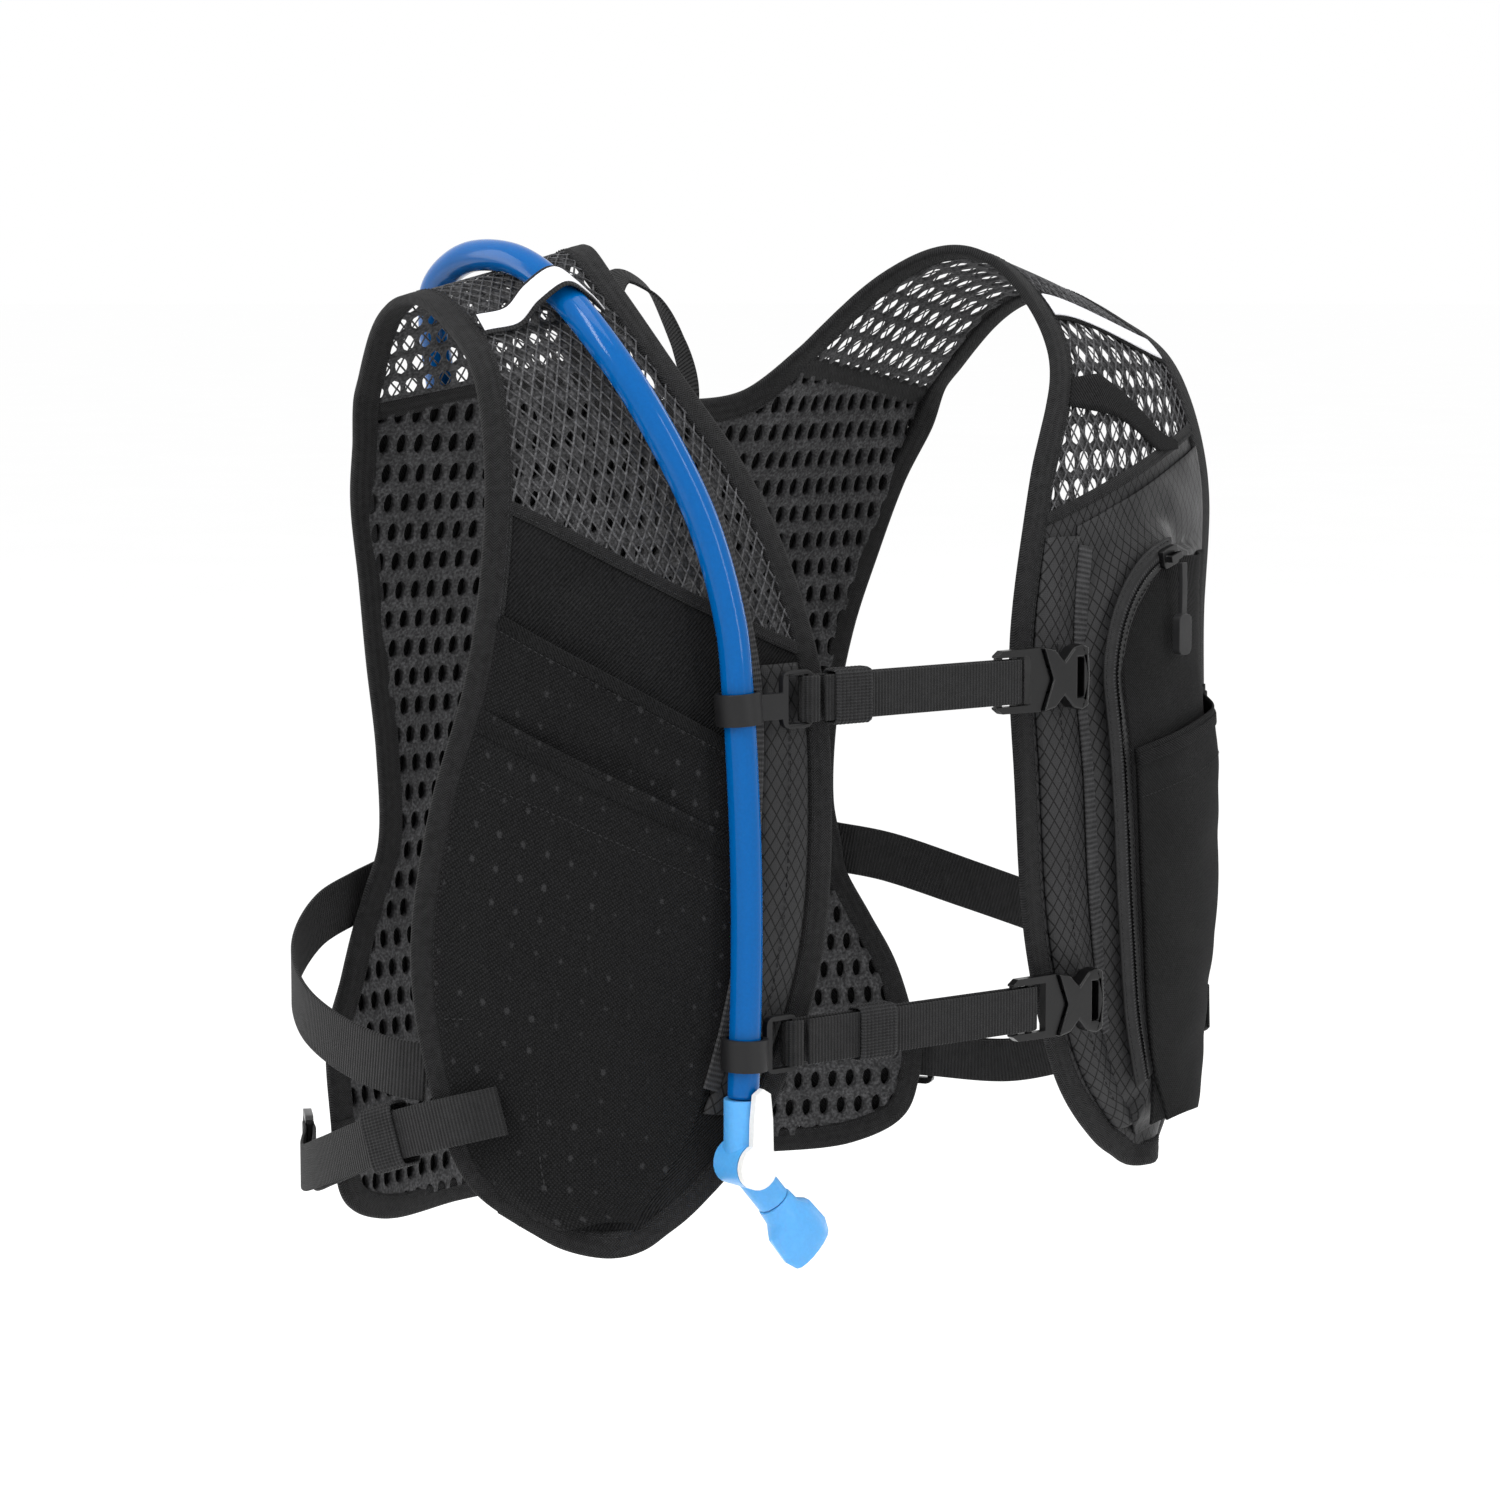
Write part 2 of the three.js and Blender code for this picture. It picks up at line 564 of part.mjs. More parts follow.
function binding(name, stops) {
  // Rolled tape through stops, each an edge point and the direction out of the fabric there.
  const path = stops.map(({ at, out, extra = 0 }) => at.clone().addScaledVector(out, away + extra));
  add(name, ribbon(path, (i) => stops[i].out, BINDING, BINDING), MATERIAL.tape);
}

const flipStop = ({ at, out, extra }) => ({ at: mirrorX(at), out: mirrorX(out), extra });
const neckSide = steps(0.05, LAST - 0.1, 34).map((row) => edgeStop(neckAt, row));
const neckBack = NECK_BACK.slice(1).map((p) => ({ at: fromArray(p), out: V(0, -0.25, 0.97) }));
binding('neck_binding', [...neckSide, ...neckBack, flipStop(neckBack[0]),
  ...neckSide.slice().reverse().map(flipStop)]);

function backEdge(z) {
  const half = table(BACK_ROWS, 'half', z);
  return { at: V(half, backDepth(half, z) + BACK_MESH / 2, z), out: V(1, -0.15, 0) };
}

for (const side of SIDES) {
  const front = steps(0.3, LAST - 0.12, 34).map((row) => edgeStop(armAt, row));
  const back = [-90, -120, -150, -185, -220, -238, -250, -270, -290, -325].map(backEdge);
  const corner = { at: V(130.5, 57.5, -68), out: V(1, -0.15, 0), extra: 0.8 };
  const stops = [...front, corner, ...back];
  binding(`arm_binding_${side.name}`, side.mirrored ? stops.map(flipStop) : stops);
}

const hemHalf = [
  { at: V(136, 68, -333), out: V(0.97, -0.1, -0.2) },
  { at: V(131, 70.5, -345), out: V(0.75, -0.1, -0.65) },
  { at: V(112, 77.5, -355), out: V(0.2, 0, -0.98) },
  { at: V(70, 92, -355), out: V(0, 0, -1) },
  { at: V(34, 98, -355), out: V(0, 0, -1) },
];
binding('hem_binding', [...hemHalf, ...hemHalf.slice().reverse().map(flipStop)]);

// ---------------------------------------------------------------- rear compartment
function bagCircle(z) {
  // Plan circle of the compartment's round back at height z, and where it meets the front wall.
  const r = table(BAG_ROWS, 'r', z);
  const y = table(BAG_ROWS, 'centre', z);
  let half = 90;
  for (let i = 0; i < 12; i += 1) {
    const reach = backDepth(half, z) + BAG_FRONT - y;
    half = Math.sqrt(Math.max(r * r - reach * reach, 1));
  }
  return { half, r, y };
}

function bagRing(z, inset) {
  // Closed outline at height z: front wall along the back panel, then round the back.
  const { half, r, y } = bagCircle(z);
  const width = half - inset * 2;
  const radius = r - inset;
  const front = steps(-1, 1, 8).slice(1, -1).map((f) =>
    V(f * width, backDepth(f * width, z) + BAG_FRONT + inset, z));
  const turn = Math.asin(Math.min(width / radius, 1));
  const wall = backDepth(width, z) + BAG_FRONT + inset + 0.2;
  const back = steps(turn, -turn, 14).map((angle) =>
    V(radius * Math.sin(angle), Math.max(y + radius * Math.cos(angle), wall), z));
  return [...front, ...back];
}

function loft(rings) {
  const n = rings[0].length;
  const points = rings.flat();
  const faces = [];
  for (let i = 0; i < rings.length - 1; i += 1) {
    for (let k = 0; k < n; k += 1) {
      const a = i * n + k;
      const b = i * n + (k + 1) % n;
      faces.push([a, b, b + n], [a, b + n, a + n]);
    }
  }
  const centre = (ringPoints) => ringPoints.reduce((sum, p) => sum.add(p), V(0, 0, 0))
    .divideScalar(n);
  const first = points.push(centre(rings[0])) - 1;
  const last = points.push(centre(rings[rings.length - 1])) - 1;
  for (let k = 0; k < n; k += 1) {
    faces.push([first, (k + 1) % n, k]);
    faces.push([last, (rings.length - 1) * n + k, (rings.length - 1) * n + (k + 1) % n]);
  }
  return solid(points, faces);
}

const BAG_HEIGHTS = [-84, -90, -95, -120, -125, -150, -170, -185, -220, -250, -290, -310, -325];
const bagOuter = loft([-76, ...BAG_HEIGHTS, -338, -346].map((z) => bagRing(z, 0)));
const bagInner = loft([-79, ...BAG_HEIGHTS, -337, -343.5].map((z) => bagRing(z, BAG_WALL)));

const rearCircle = bagCircle(REAR_ZIP_Z);
const rearPoint = (degrees, out, z = REAR_ZIP_Z) => {
  const angle = THREE.MathUtils.degToRad(degrees);
  const r = rearCircle.r + out;
  return V(r * Math.sin(angle), rearCircle.y + r * Math.cos(angle), z);
};
const REAR_SWEEP = 50;
const zipMouth = gridSolid(steps(-REAR_SWEEP, REAR_SWEEP, 16), [-2, 2],
  (a, h) => rearPoint(a, -6, REAR_ZIP_Z + h), (a, h) => rearPoint(a, 6, REAR_ZIP_Z + h));
const exitFrom = V(-72, 86, -98);
const exitTo = V(-77, 79.5, -81);
const exitAxis = exitTo.clone().sub(exitFrom).normalize();
const exitPoint = exitFrom.clone().lerp(exitTo, 0.45);
const exitHole = place(disc(9.8, -16, 16, 16), exitPoint, exitAxis);
add('rear_bag_shell', cut(bagOuter, bagInner, zipMouth, exitHole), MATERIAL.ripstop);
add('hose_exit_collar', place(ring(HOSE_R + 0.7, 9.2, -2.5, 2.5, 16), exitPoint, exitAxis),
  MATERIAL.plastic);

const rearTrackPath = steps(-REAR_SWEEP - 2, REAR_SWEEP + 2, 20).map((a) => rearPoint(a, 1.2));
add('rear_zip_track', ribbon(rearTrackPath, () => V(0, 0, 1), 10, 1.2), MATERIAL.zip);
const rearOut = rearPoint(REAR_SWEEP - 2, 1).sub(rearPoint(REAR_SWEEP - 2, 0));
const rearSliderAt = rearPoint(REAR_SWEEP - 2, 1.8 + GAP + 1.2);
add('rear_zip_slider', zipSlider(rearSliderAt, V(0, 0, 1).cross(rearOut), rearOut),
  MATERIAL.plastic);
const rearHang = rearSliderAt.clone().addScaledVector(rearOut, 4.1 + GAP);
add('rear_zip_pull',
  cordPull(rearHang, V(0, 0, 1).cross(rearOut).negate(), rearOut, 14, 13), MATERIAL.plastic);

// Stretch stash pocket on the round back, open along its top edge.
const STASH_TOP = -188;
const STASH_BOTTOM = -334;

function stash(extra) {
  return (fraction, f) => {
    const z = mix(STASH_BOTTOM, STASH_TOP + 8 * fraction * fraction, f);
    const { half, r, y } = bagCircle(z);
    const angle = fraction * Math.asin(half / r) * 0.9;
    const gap = 1.2 + 10 * (1 - fraction ** 4) * Math.sin(Math.PI * (0.02 + 0.48 * f));
    return V((r + gap + extra) * Math.sin(angle), y + (r + gap + extra) * Math.cos(angle), z);
  };
}

add('rear_stash_pocket', gridSolid(steps(-1, 1, 14), steps(0, 1, 7), stash(0), stash(1.4)),
  MATERIAL.stretch);

// ---------------------------------------------------------------- loops and labels
const loopPath = smooth([V(13, 50, -66), V(14, 47, -54), V(14, 55, -34), V(9, 66, -15),
  V(0, 71, -9), V(-9, 66, -15), V(-14, 55, -34), V(-14, 47, -54), V(-13, 50, -66)], 20);
const loopSpine = loopPath.map((p) => p.clone().add(V(0, p.z > -60 ? 2.5 : 3, 0)));
add('haul_loop', ribbon(loopSpine.map((p) => p.clone().add(V(0, 5, 0))),
  () => V(0, 0.85, 0.5), 10, 1.2), MATERIAL.webbing);

// Band over the tube on the right shoulder, and a blank label on the left one.
function overHose(row, along) {
  const points = [
    strip(0.93, row + 0.05, FABRIC + 2), strip(0.72, row, FABRIC + 2.4),
    strip(0.6, row - 0.02, FABRIC + 10), strip(0.45, row - 0.05, FABRIC + 16.2),
    strip(0.3, row - 0.07, FABRIC + 10), strip(0.17, row - 0.08, FABRIC + 2),
  ].map(mirrorX);
  return ribbon(smooth(points, 16), () => along, 11, 1);
}

add('hose_loop_tab', overHose(7.75, V(0.1, -0.8, -0.5)), MATERIAL.label);
add('shoulder_label_left',
  gridSolid(steps(0.06, 0.94, 8), [7.2, 7.5],
    (u, row) => strip(u, row, FABRIC + GAP), (u, row) => strip(u, row, FABRIC + GAP + 0.8)),
  MATERIAL.label);

// ---------------------------------------------------------------- chest straps
const RING = { left: -71, right: -57.5, half: 10 };

function chestStrap({ name, z, clipAt, tube, ringShift, buckleShift, keeperX }) {
  // Webbing in plan: tail end, buckle loop, main run, then round the ring's bar and back.
  const tail = [[-54, -111], [-20, -110.7]].map(([x, y]) => V(x + ringShift, y, z));
  const buckleLoop = [[31, -110.4], [36, -109.9], [37.4, -108.5], [36, -107.1], [31, -106.6]]
    .map(([x, y]) => V(x + buckleShift, y, z));
  const ringLoop = [[-46, -106.2], [-56, -105.6], [-60.4, -105.4], [-61.7, -106.6],
    [-61.7, -109.6], [-60.4, -110.9], [-56.6, -111]].map(([x, y]) => V(x + ringShift, y, z));
  add(`sternum_webbing_${name}`,
    ribbon([...tail, ...buckleLoop, ...ringLoop], () => V(0, 0, 1), WEB, WEB_THICK),
    MATERIAL.webbing);

  // Elastic keeper round both layers.
  add(`strap_keeper_${name}`, cut(
    box(16, 8.6, WEB + 3).translate(keeperX, -108.6, z),
    box(18, 6.6, WEB + 1).translate(keeperX, -108.6, z)), MATERIAL.elastic);

  // Ring and tube clip in one moulding.
  const left = RING.left + ringShift;
  const right = RING.right + ringShift;
  const ringPlate = plate(roundRectangle(left, right, -RING.half, RING.half, 3),
    2.6, [[left + 2.4, right - 2.4, -RING.half + 1.6, RING.half - 1.6]]);
  ringPlate.translate(0, CHEST_Y, z);
  const clip = place(ring(HOSE_R + 0.9, HOSE_R + 2.7, -5.5, 5.5, 20), clipAt, tube);
  const bridge = box(left + 1.6 - clipAt.x, 2.6, 9)
    .translate((left + 1.6 + clipAt.x) / 2, CHEST_Y, z - 2);
  const bore = place(disc(HOSE_R + 0.9, -12, 12, 20), clipAt, tube);
  add(`strap_hook_${name}`, cut(join(ringPlate, clip, bridge), bore), MATERIAL.greyPlastic);

  // Plug half: ladder-lock frame with its bar, and a tongue.
  const frame = plate(
    [[25.5, -9.5], [28, -11.3], [46, -11.5], [50.5, 0], [46, 11.5], [28, 11.3], [25.5, 9.5]],
    3.4, [[28.4, 33.2, -8.8, 8.8], [35.2, 41, -8.8, 8.8]]);
  frame.translate(0, CHEST_Y - 0.5, 0);
  const tongue = box(9, 2.8, 8.4).translate(51.5, CHEST_Y - 0.5, 0);
  const clear = box(14, 2.2, 17.6);
  const plug = cut(join(frame, tongue), clear.clone().translate(31, CHEST_Y - 2.4, 0),
    clear.clone().translate(31, CHEST_Y + 1.4, 0));
  add(`buckle_male_${name}`, plug.translate(buckleShift, 0, z), MATERIAL.plastic);

  // Socket half: four-armed body with a slot for the rail.
  const body = plate(
    [[46.6, -11.6], [51.1, 0], [46.6, 11.6], [52, 10.5], [56.5, 6.2], [61, 11], [65, 12],
      [68, 10.8], [68.6, 0], [68, -10.8], [65, -12], [61, -11], [56.5, -6.2], [52, -10.5]],
    6.4, [[62.6, 65.8, -7.2, 7.2]]);
  body.translate(0, CHEST_Y - 0.5, 0);
  const socket = cut(body, box(16, 3.6, 9.2).translate(51, CHEST_Y - 0.5, 0));
  add(`buckle_female_${name}`, socket.translate(buckleShift, 0, z), MATERIAL.plastic);
}

chestStrap({ name: 'upper', z: UPPER_Z, clipAt: V(-87.8, -106.1, UPPER_Z - 2),
  tube: V(-0.055, 0.03, 1), ringShift: 0, buckleShift: 0, keeperX: -42 });
chestStrap({ name: 'lower', z: LOWER_Z, clipAt: V(-86, -107, LOWER_Z - 2),
  tube: V(0.026, -0.01, 1), ringShift: -7, buckleShift: 8.5, keeperX: -30.5 });

// ---------------------------------------------------------------- side straps
// The ladder-lock's own axes: ahead runs along the strap, beside stands off its flat face.
const LOCK_AT = V(146, 78, -327);
const ahead = V(0.484, -0.875, 0);
const beside = V(0.875, 0.484, 0);
const atLock = (a, n) => LOCK_AT.clone().addScaledVector(ahead, a).addScaledVector(beside, n);

const upperRoute = smooth([[106, 95.5, -238], [115, 93, -240], [136, 84, -245], [161, 62, -256],
  [178, 30, -266], [184, -4, -273], [182, -34, -277], [177.3, -45.3, -278]].map(fromArray), 18);
const sideMain = [[172.5, -46, -297], [180, -22, -305], [177, 12, -318], [166, 42, -327]];
const sideTail = [[169.5, 44.5, -327], [180.6, 13, -318], [183.6, -23, -305], [178.4, -50, -296],
  [172, -66, -291], [165, -75, -288]];
const lowerRoute = [
  ...smooth([...sideMain.map(fromArray), atLock(10, -1.7)], 12),
  atLock(3, -1.5), atLock(-1.6, -1.5), atLock(-3.2, -0.9), atLock(-3.2, 0.9), atLock(-1.6, 1.5),
  atLock(3, 1.5), ...smooth([atLock(10, 1.7), ...sideTail.map(fromArray)], 16),
];

function sideKeeper() {
  const sleeve = cut(box(9.6, 15, SIDE_WEB + 2), box(7.8, 17, SIDE_WEB));
  sleeve.rotateX(THREE.MathUtils.degToRad(-19));
  sleeve.rotateZ(THREE.MathUtils.degToRad(-12));
  return sleeve.translate(180.3, -29.6, -302.5);
}

function ladderLock() {
  const frame = plate(roundRectangle(-9, 9, -12, 12, 3), 3,
    [[-6.6, -1.2, -9.4, 9.4], [1.2, 6.6, -9.4, 9.4]]);
  const lowered = box(20, 2, SIDE_WEB - 1.2);
  const body = cut(frame, lowered.clone().translate(3.4, -1.7, 0),
    lowered.clone().translate(3.4, 1.7, 0));
  body.applyMatrix4(new THREE.Matrix4().makeBasis(ahead, beside, V(0, 0, 1)));
  return body.translate(...LOCK_AT.toArray());
}

function flip(geometry) {
  // Mirror image in the plane x = 0.
  const at = geometry.attributes.position;
  const points = Array.from({ length: at.count }, (_, i) =>
    V(-at.getX(i), at.getY(i), at.getZ(i)));
  const faces = [];
  for (let i = 0; i < geometry.index.count; i += 3) {
    faces.push([0, 1, 2].map((k) => geometry.index.getX(i + k)));
  }
  return solid(points, faces);
}

for (const side of SIDES) {
  const turned = (geometry) => (side.mirrored ? flip(geometry) : geometry);
  const vertical = () => V(0, 0, 1);
  add(`side_strap_upper_${side.name}`, turned(ribbon(upperRoute, vertical, SIDE_WEB, 1.4)),
    MATERIAL.webbing);
  add(`side_strap_lower_${side.name}`,
    turned(ribbon(lowerRoute, vertical, SIDE_WEB - 3, WEB_THICK)), MATERIAL.webbing);
  add(`side_ladder_lock_${side.name}`, turned(ladderLock()), MATERIAL.plastic);
  add(`side_keeper_${side.name}`, turned(sideKeeper()), MATERIAL.elastic);
}

// ---------------------------------------------------------------- reservoir
const BLADDER = { x: 52, y: 12.5, z: 82, at: V(0, 121, -216) };

function pillow(shrink) {
  // Flat pillow with square shoulders.
  const power = (value, exponent) => Math.sign(value) * Math.abs(value) ** exponent;
  const points = [];
  const faces = [];
  const around = 24;
  const levels = 10;
  for (let j = 1; j < levels; j += 1) {
    const tilt = Math.PI * (j / levels - 0.5);
    for (let i = 0; i < around; i += 1) {
      const turn = 2 * Math.PI * i / around;
      const waist = Math.cos(tilt) ** 0.6;
      points.push(V(
        (BLADDER.x - shrink) * waist * power(Math.cos(turn), 0.7),
        (BLADDER.y - shrink) * Math.cos(tilt) ** 0.8 * Math.sin(turn),
        (BLADDER.z - shrink) * power(Math.sin(tilt), 0.7)).add(BLADDER.at));
    }
  }
  const bottom = points.push(V(0, 0, shrink - BLADDER.z).add(BLADDER.at)) - 1;
  const top = points.push(V(0, 0, BLADDER.z - shrink).add(BLADDER.at)) - 1;
  for (let i = 0; i < around; i += 1) {
    const next = (i + 1) % around;
    faces.push([bottom, next, i]);
    for (let j = 0; j < levels - 2; j += 1) {
      const a = j * around;
      faces.push([a + i, a + next, a + around + next], [a + i, a + around + next, a + around + i]);
    }
    const rim = (levels - 2) * around;
    faces.push([top, rim + i, rim + next]);
  }
  return solid(points, faces);
}

const CAP = { z: -180, r: 17 };
const capAt = V(0, 0, CAP.z);
const capHole = place(disc(CAP.r + 4.5, 122, 140, 24), capAt);
const portHole = place(disc(5.6, 40, 60, 16), V(0, 114, -255), V(-1, 0, 0));
add('reservoir_bladder', cut(pillow(0), pillow(1.5), capHole, portHole), MATERIAL.bladder);
add('reservoir_collar', place(ring(CAP.r, CAP.r + 4, 127.5, 135.5, 24), capAt), MATERIAL.plastic);
const plug = disc(CAP.r - 0.5, 129, 136.5, 24);
const lid = disc(CAP.r + 4, 136, 139, 24);
const grip = box(28, 4, 5).translate(0, 140.5, 0);
add('reservoir_cap', place(join(plug, lid, grip), capAt), MATERIAL.tube);
add('reservoir_hanger',
  ribbon([V(0, 120, -132.5), V(0, 118, -120), V(0, 113, -106), V(0, 104, -97)],
    () => V(1, 0, 0), 22, 1.4), MATERIAL.webbing);

const portAxis = V(-1, 0, 0);
add('hose_port', place(join(disc(5, 46, 57, 16), disc(7.5, 53.2, 54.8, 16)),
  V(0, 114, -255), portAxis), MATERIAL.plastic);
const connectorBarrel = place(disc(7, -268, -243.6, 18), V(-65, 112.8, 0), V(0, 0, 1));
const connectorSocket = place(disc(6.8, 55.4, 65, 18), V(0, 114, -255), portAxis);
const socketBore = place(disc(5.35, 50, 58.5, 18), V(0, 114, -255), portAxis);
const buttonBore = place(disc(3.4, 116.5, 126, 14), V(-65, 0, -262));
add('hose_connector',
  cut(join(connectorBarrel, connectorSocket), socketBore, buttonBore), MATERIAL.greyPlastic);
add('connector_button', place(disc(3, 118.6, 122.4, 14), V(-65, 0, -262)), MATERIAL.tube);

// ---------------------------------------------------------------- drinking tube
const hoseCurve = new THREE.CatmullRomCurve3(HOSE_ROUTE.map(fromArray));
const tubeSection = new THREE.Shape(Array.from({ length: 10 }, (_, i) => {
  const angle = 2 * Math.PI * i / 10;
  return new THREE.Vector2(HOSE_R * Math.cos(angle), HOSE_R * Math.sin(angle));
}));
add('drink_hose', new THREE.ExtrudeGeometry(tubeSection,
  { steps: 64, bevelEnabled: false, extrudePath: hoseCurve }), MATERIAL.tube);

// ---------------------------------------------------------------- bite valve
const [valveX, valveY] = VALVE_AXIS;
const HUB_Z = -311;
const hub = V(valveX, valveY, HUB_Z);
const spout = V(0.62, -0.12, -0.775).normalize();
const inlet = place(disc(6.8, HUB_Z, -288.5, 18), V(valveX, valveY, 0), V(0, 0, 1));
const hubBody = place(disc(8, -6.5, 6.5, 22), hub);
const outlet = place(disc(6, 0, 18, 18), hub, spout);
const pinBore = place(disc(3.4, -8, -3, 16), hub);
add('bite_valve_elbow', cut(join(inlet, hubBody, outlet), pinBore), MATERIAL.valve);

const leverDisc = place(disc(8, -9.4, -7, 24), hub);
const leverPin = place(disc(3, -8, -3.6, 16), hub);
const arm = plate([[-4.6, 0], [4.6, 0], [4.2, 16], [3.2, 25], [0, 27], [-3.2, 25], [-4.2, 16]], 2.5);
arm.translate(valveX + 1.5, valveY - 8.15, HUB_Z);
add('shutoff_lever', join(leverDisc, leverPin, arm), MATERIAL.lever);

function mouthpiece() {
  // Soft flared mouthpiece: round at the elbow, wide and flat at the bite end.
  const across = V(0.775, 0.1, 0.62).normalize();
  const thick = spout.clone().cross(across).normalize();
  const level = (s, a, b) => Array.from({ length: 16 }, (_, i) => {
    const angle = 2 * Math.PI * i / 16;
    return hub.clone().addScaledVector(spout, s)
      .addScaledVector(across, a * Math.cos(angle)).addScaledVector(thick, b * Math.sin(angle));
  });
  return loft([level(18.4, 6.4, 6.4), level(24, 7, 6.6), level(28, 10.6, 7.2),
    level(38, 11.4, 6), level(43, 9.5, 4)]);
}

add('bite_mouthpiece', mouthpiece(), MATERIAL.valve);

export default vest;
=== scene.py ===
"""Looks of the hydration vest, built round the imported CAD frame."""
import math

import bpy
import numpy as np
from mathutils import Matrix, Vector, noise


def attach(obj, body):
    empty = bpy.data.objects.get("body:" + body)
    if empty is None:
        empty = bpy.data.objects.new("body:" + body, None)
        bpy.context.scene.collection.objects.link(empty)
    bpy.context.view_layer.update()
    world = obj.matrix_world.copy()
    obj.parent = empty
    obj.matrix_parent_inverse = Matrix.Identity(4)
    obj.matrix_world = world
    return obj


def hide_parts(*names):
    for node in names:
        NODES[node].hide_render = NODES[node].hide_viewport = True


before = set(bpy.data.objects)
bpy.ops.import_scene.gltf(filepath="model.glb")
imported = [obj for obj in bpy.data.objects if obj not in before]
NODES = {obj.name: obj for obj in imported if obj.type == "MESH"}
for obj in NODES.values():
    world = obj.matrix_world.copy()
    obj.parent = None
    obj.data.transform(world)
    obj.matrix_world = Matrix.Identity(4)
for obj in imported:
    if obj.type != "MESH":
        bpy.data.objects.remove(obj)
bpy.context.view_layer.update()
MM = 0.001

# ------------------------------------------------------------------ camera and light
TARGET = Vector((0, 0, -0.184))
VIEW_DISTANCE = 1.6
VIEW_AZIMUTH = math.radians(-38)
VIEW_ELEVATION = math.radians(6.6)
LENS_MM = 103.2


def direction(azimuth, elevation):
    """Unit vector from the object towards a viewer; azimuth 0 is the wearer's front."""
    return Vector((math.sin(azimuth) * math.cos(elevation),
                   -math.cos(azimuth) * math.cos(elevation), math.sin(elevation)))


def look(obj, at):
    obj.rotation_euler = (at - obj.location).to_track_quat("-Z", "Y").to_euler()


def make_camera():
    data = bpy.data.cameras.new("camera")
    data.lens = LENS_MM
    data.sensor_width = 36
    camera = bpy.data.objects.new("camera", data)
    bpy.context.scene.collection.objects.link(camera)
    camera.location = TARGET + direction(VIEW_AZIMUTH, VIEW_ELEVATION) * VIEW_DISTANCE
    look(camera, TARGET)
    bpy.context.scene.camera = camera


def area_light(name, azimuth, elevation, distance, size, power):
    data = bpy.data.lights.new(name, "AREA")
    data.shape = "RECTANGLE"
    data.size, data.size_y = size
    data.energy = power
    lamp = bpy.data.objects.new(name, data)
    bpy.context.scene.collection.objects.link(lamp)
    lamp.location = TARGET + direction(math.radians(azimuth), math.radians(elevation)) * distance
    look(lamp, TARGET)


make_camera()
area_light("key", -75, 42, 2.2, (0.4, 1.4), 30)
area_light("fill", 12, 18, 2.4, (0.3, 1.6), 16)
area_light("top", -30, 82, 2.0, (1.2, 1.2), 16)
area_light("rim_left", -140, 15, 2.0, (0.5, 1.6), 8)
area_light("rim_right", 95, 12, 2.0, (0.5, 1.6), 8)

world = bpy.data.worlds.new("studio")
world.use_nodes = True
background = world.node_tree.nodes["Background"]
background.inputs["Color"].default_value = (1, 1, 1, 1)
background.inputs["Strength"].default_value = 1.0
bpy.context.scene.world = world


# ------------------------------------------------------------------ node helpers
class Shader:
    """A material's node tree, with short calls for the nodes it needs."""

    def __init__(self, name, color, roughness, **sockets):
        self.material = bpy.data.materials.new(name)
        self.material.use_nodes = True
        self.nodes = self.material.node_tree.nodes
        self.links = self.material.node_tree.links
        self.bsdf = self.nodes["Principled BSDF"]
        self.bsdf.inputs["Base Color"].default_value = (*color, 1)
        self.bsdf.inputs["Roughness"].default_value = roughness
        for key, value in sockets.items():
            self.bsdf.inputs[key.replace("_", " ")].default_value = value

    def put(self, value, socket):
        if hasattr(value, "is_output"):
            self.links.new(value, socket)
        else:
            socket.default_value = value

    def math(self, operation, a, b=0.0, c=0.0):
        node = self.nodes.new("ShaderNodeMath")
        node.operation = operation
        for value, socket in zip((a, b, c), node.inputs):
            self.put(value, socket)
        return node.outputs[0]

    def weave(self):
        """Distances across and along the cloth, in millimetres."""
        uv = self.nodes.new("ShaderNodeUVMap")
        uv.uv_map = "weave"
        parts = self.nodes.new("ShaderNodeSeparateXYZ")
        self.links.new(uv.outputs[0], parts.inputs[0])
        return parts.outputs[0], parts.outputs[1]

    def wave(self, value, pitch):
        """0 to 1 and back over each pitch."""
        wave = self.math("SINE", self.math("MULTIPLY", value, 2 * math.pi / pitch))
        return self.math("MULTIPLY_ADD", wave, 0.5, 0.5)

    def noise(self, scale, detail=2.0):
        node = self.nodes.new("ShaderNodeTexNoise")
        node.inputs["Scale"].default_value = scale
        node.inputs["Detail"].default_value = detail
        place = self.nodes.new("ShaderNodeTexCoord").outputs["Object"]
        self.links.new(place, node.inputs["Vector"])
        return node.outputs["Fac"]

    def tint(self, factor, low, high):
        """Base colour from low to high by factor."""
        node = self.nodes.new("ShaderNodeMix")
        node.data_type = "RGBA"
        self.links.new(factor, node.inputs[0])
        node.inputs[6].default_value = (*low, 1)
        node.inputs[7].default_value = (*high, 1)
        self.links.new(node.outputs[2], self.bsdf.inputs["Base Color"])

    def rough(self, factor, low, high):
        span = self.math("MULTIPLY_ADD", factor, high - low, low)
        self.links.new(span, self.bsdf.inputs["Roughness"])

    def bump(self, height, distance):
        """Relief of the given depth in metres."""
        node = self.nodes.new("ShaderNodeBump")
        node.inputs["Distance"].default_value = distance
        self.links.new(height, node.inputs["Height"])
        self.links.new(node.outputs[0], self.bsdf.inputs["Normal"])


def grey(value):
    """Grey with a trace of blue."""
    return (value, value, value * 1.04)


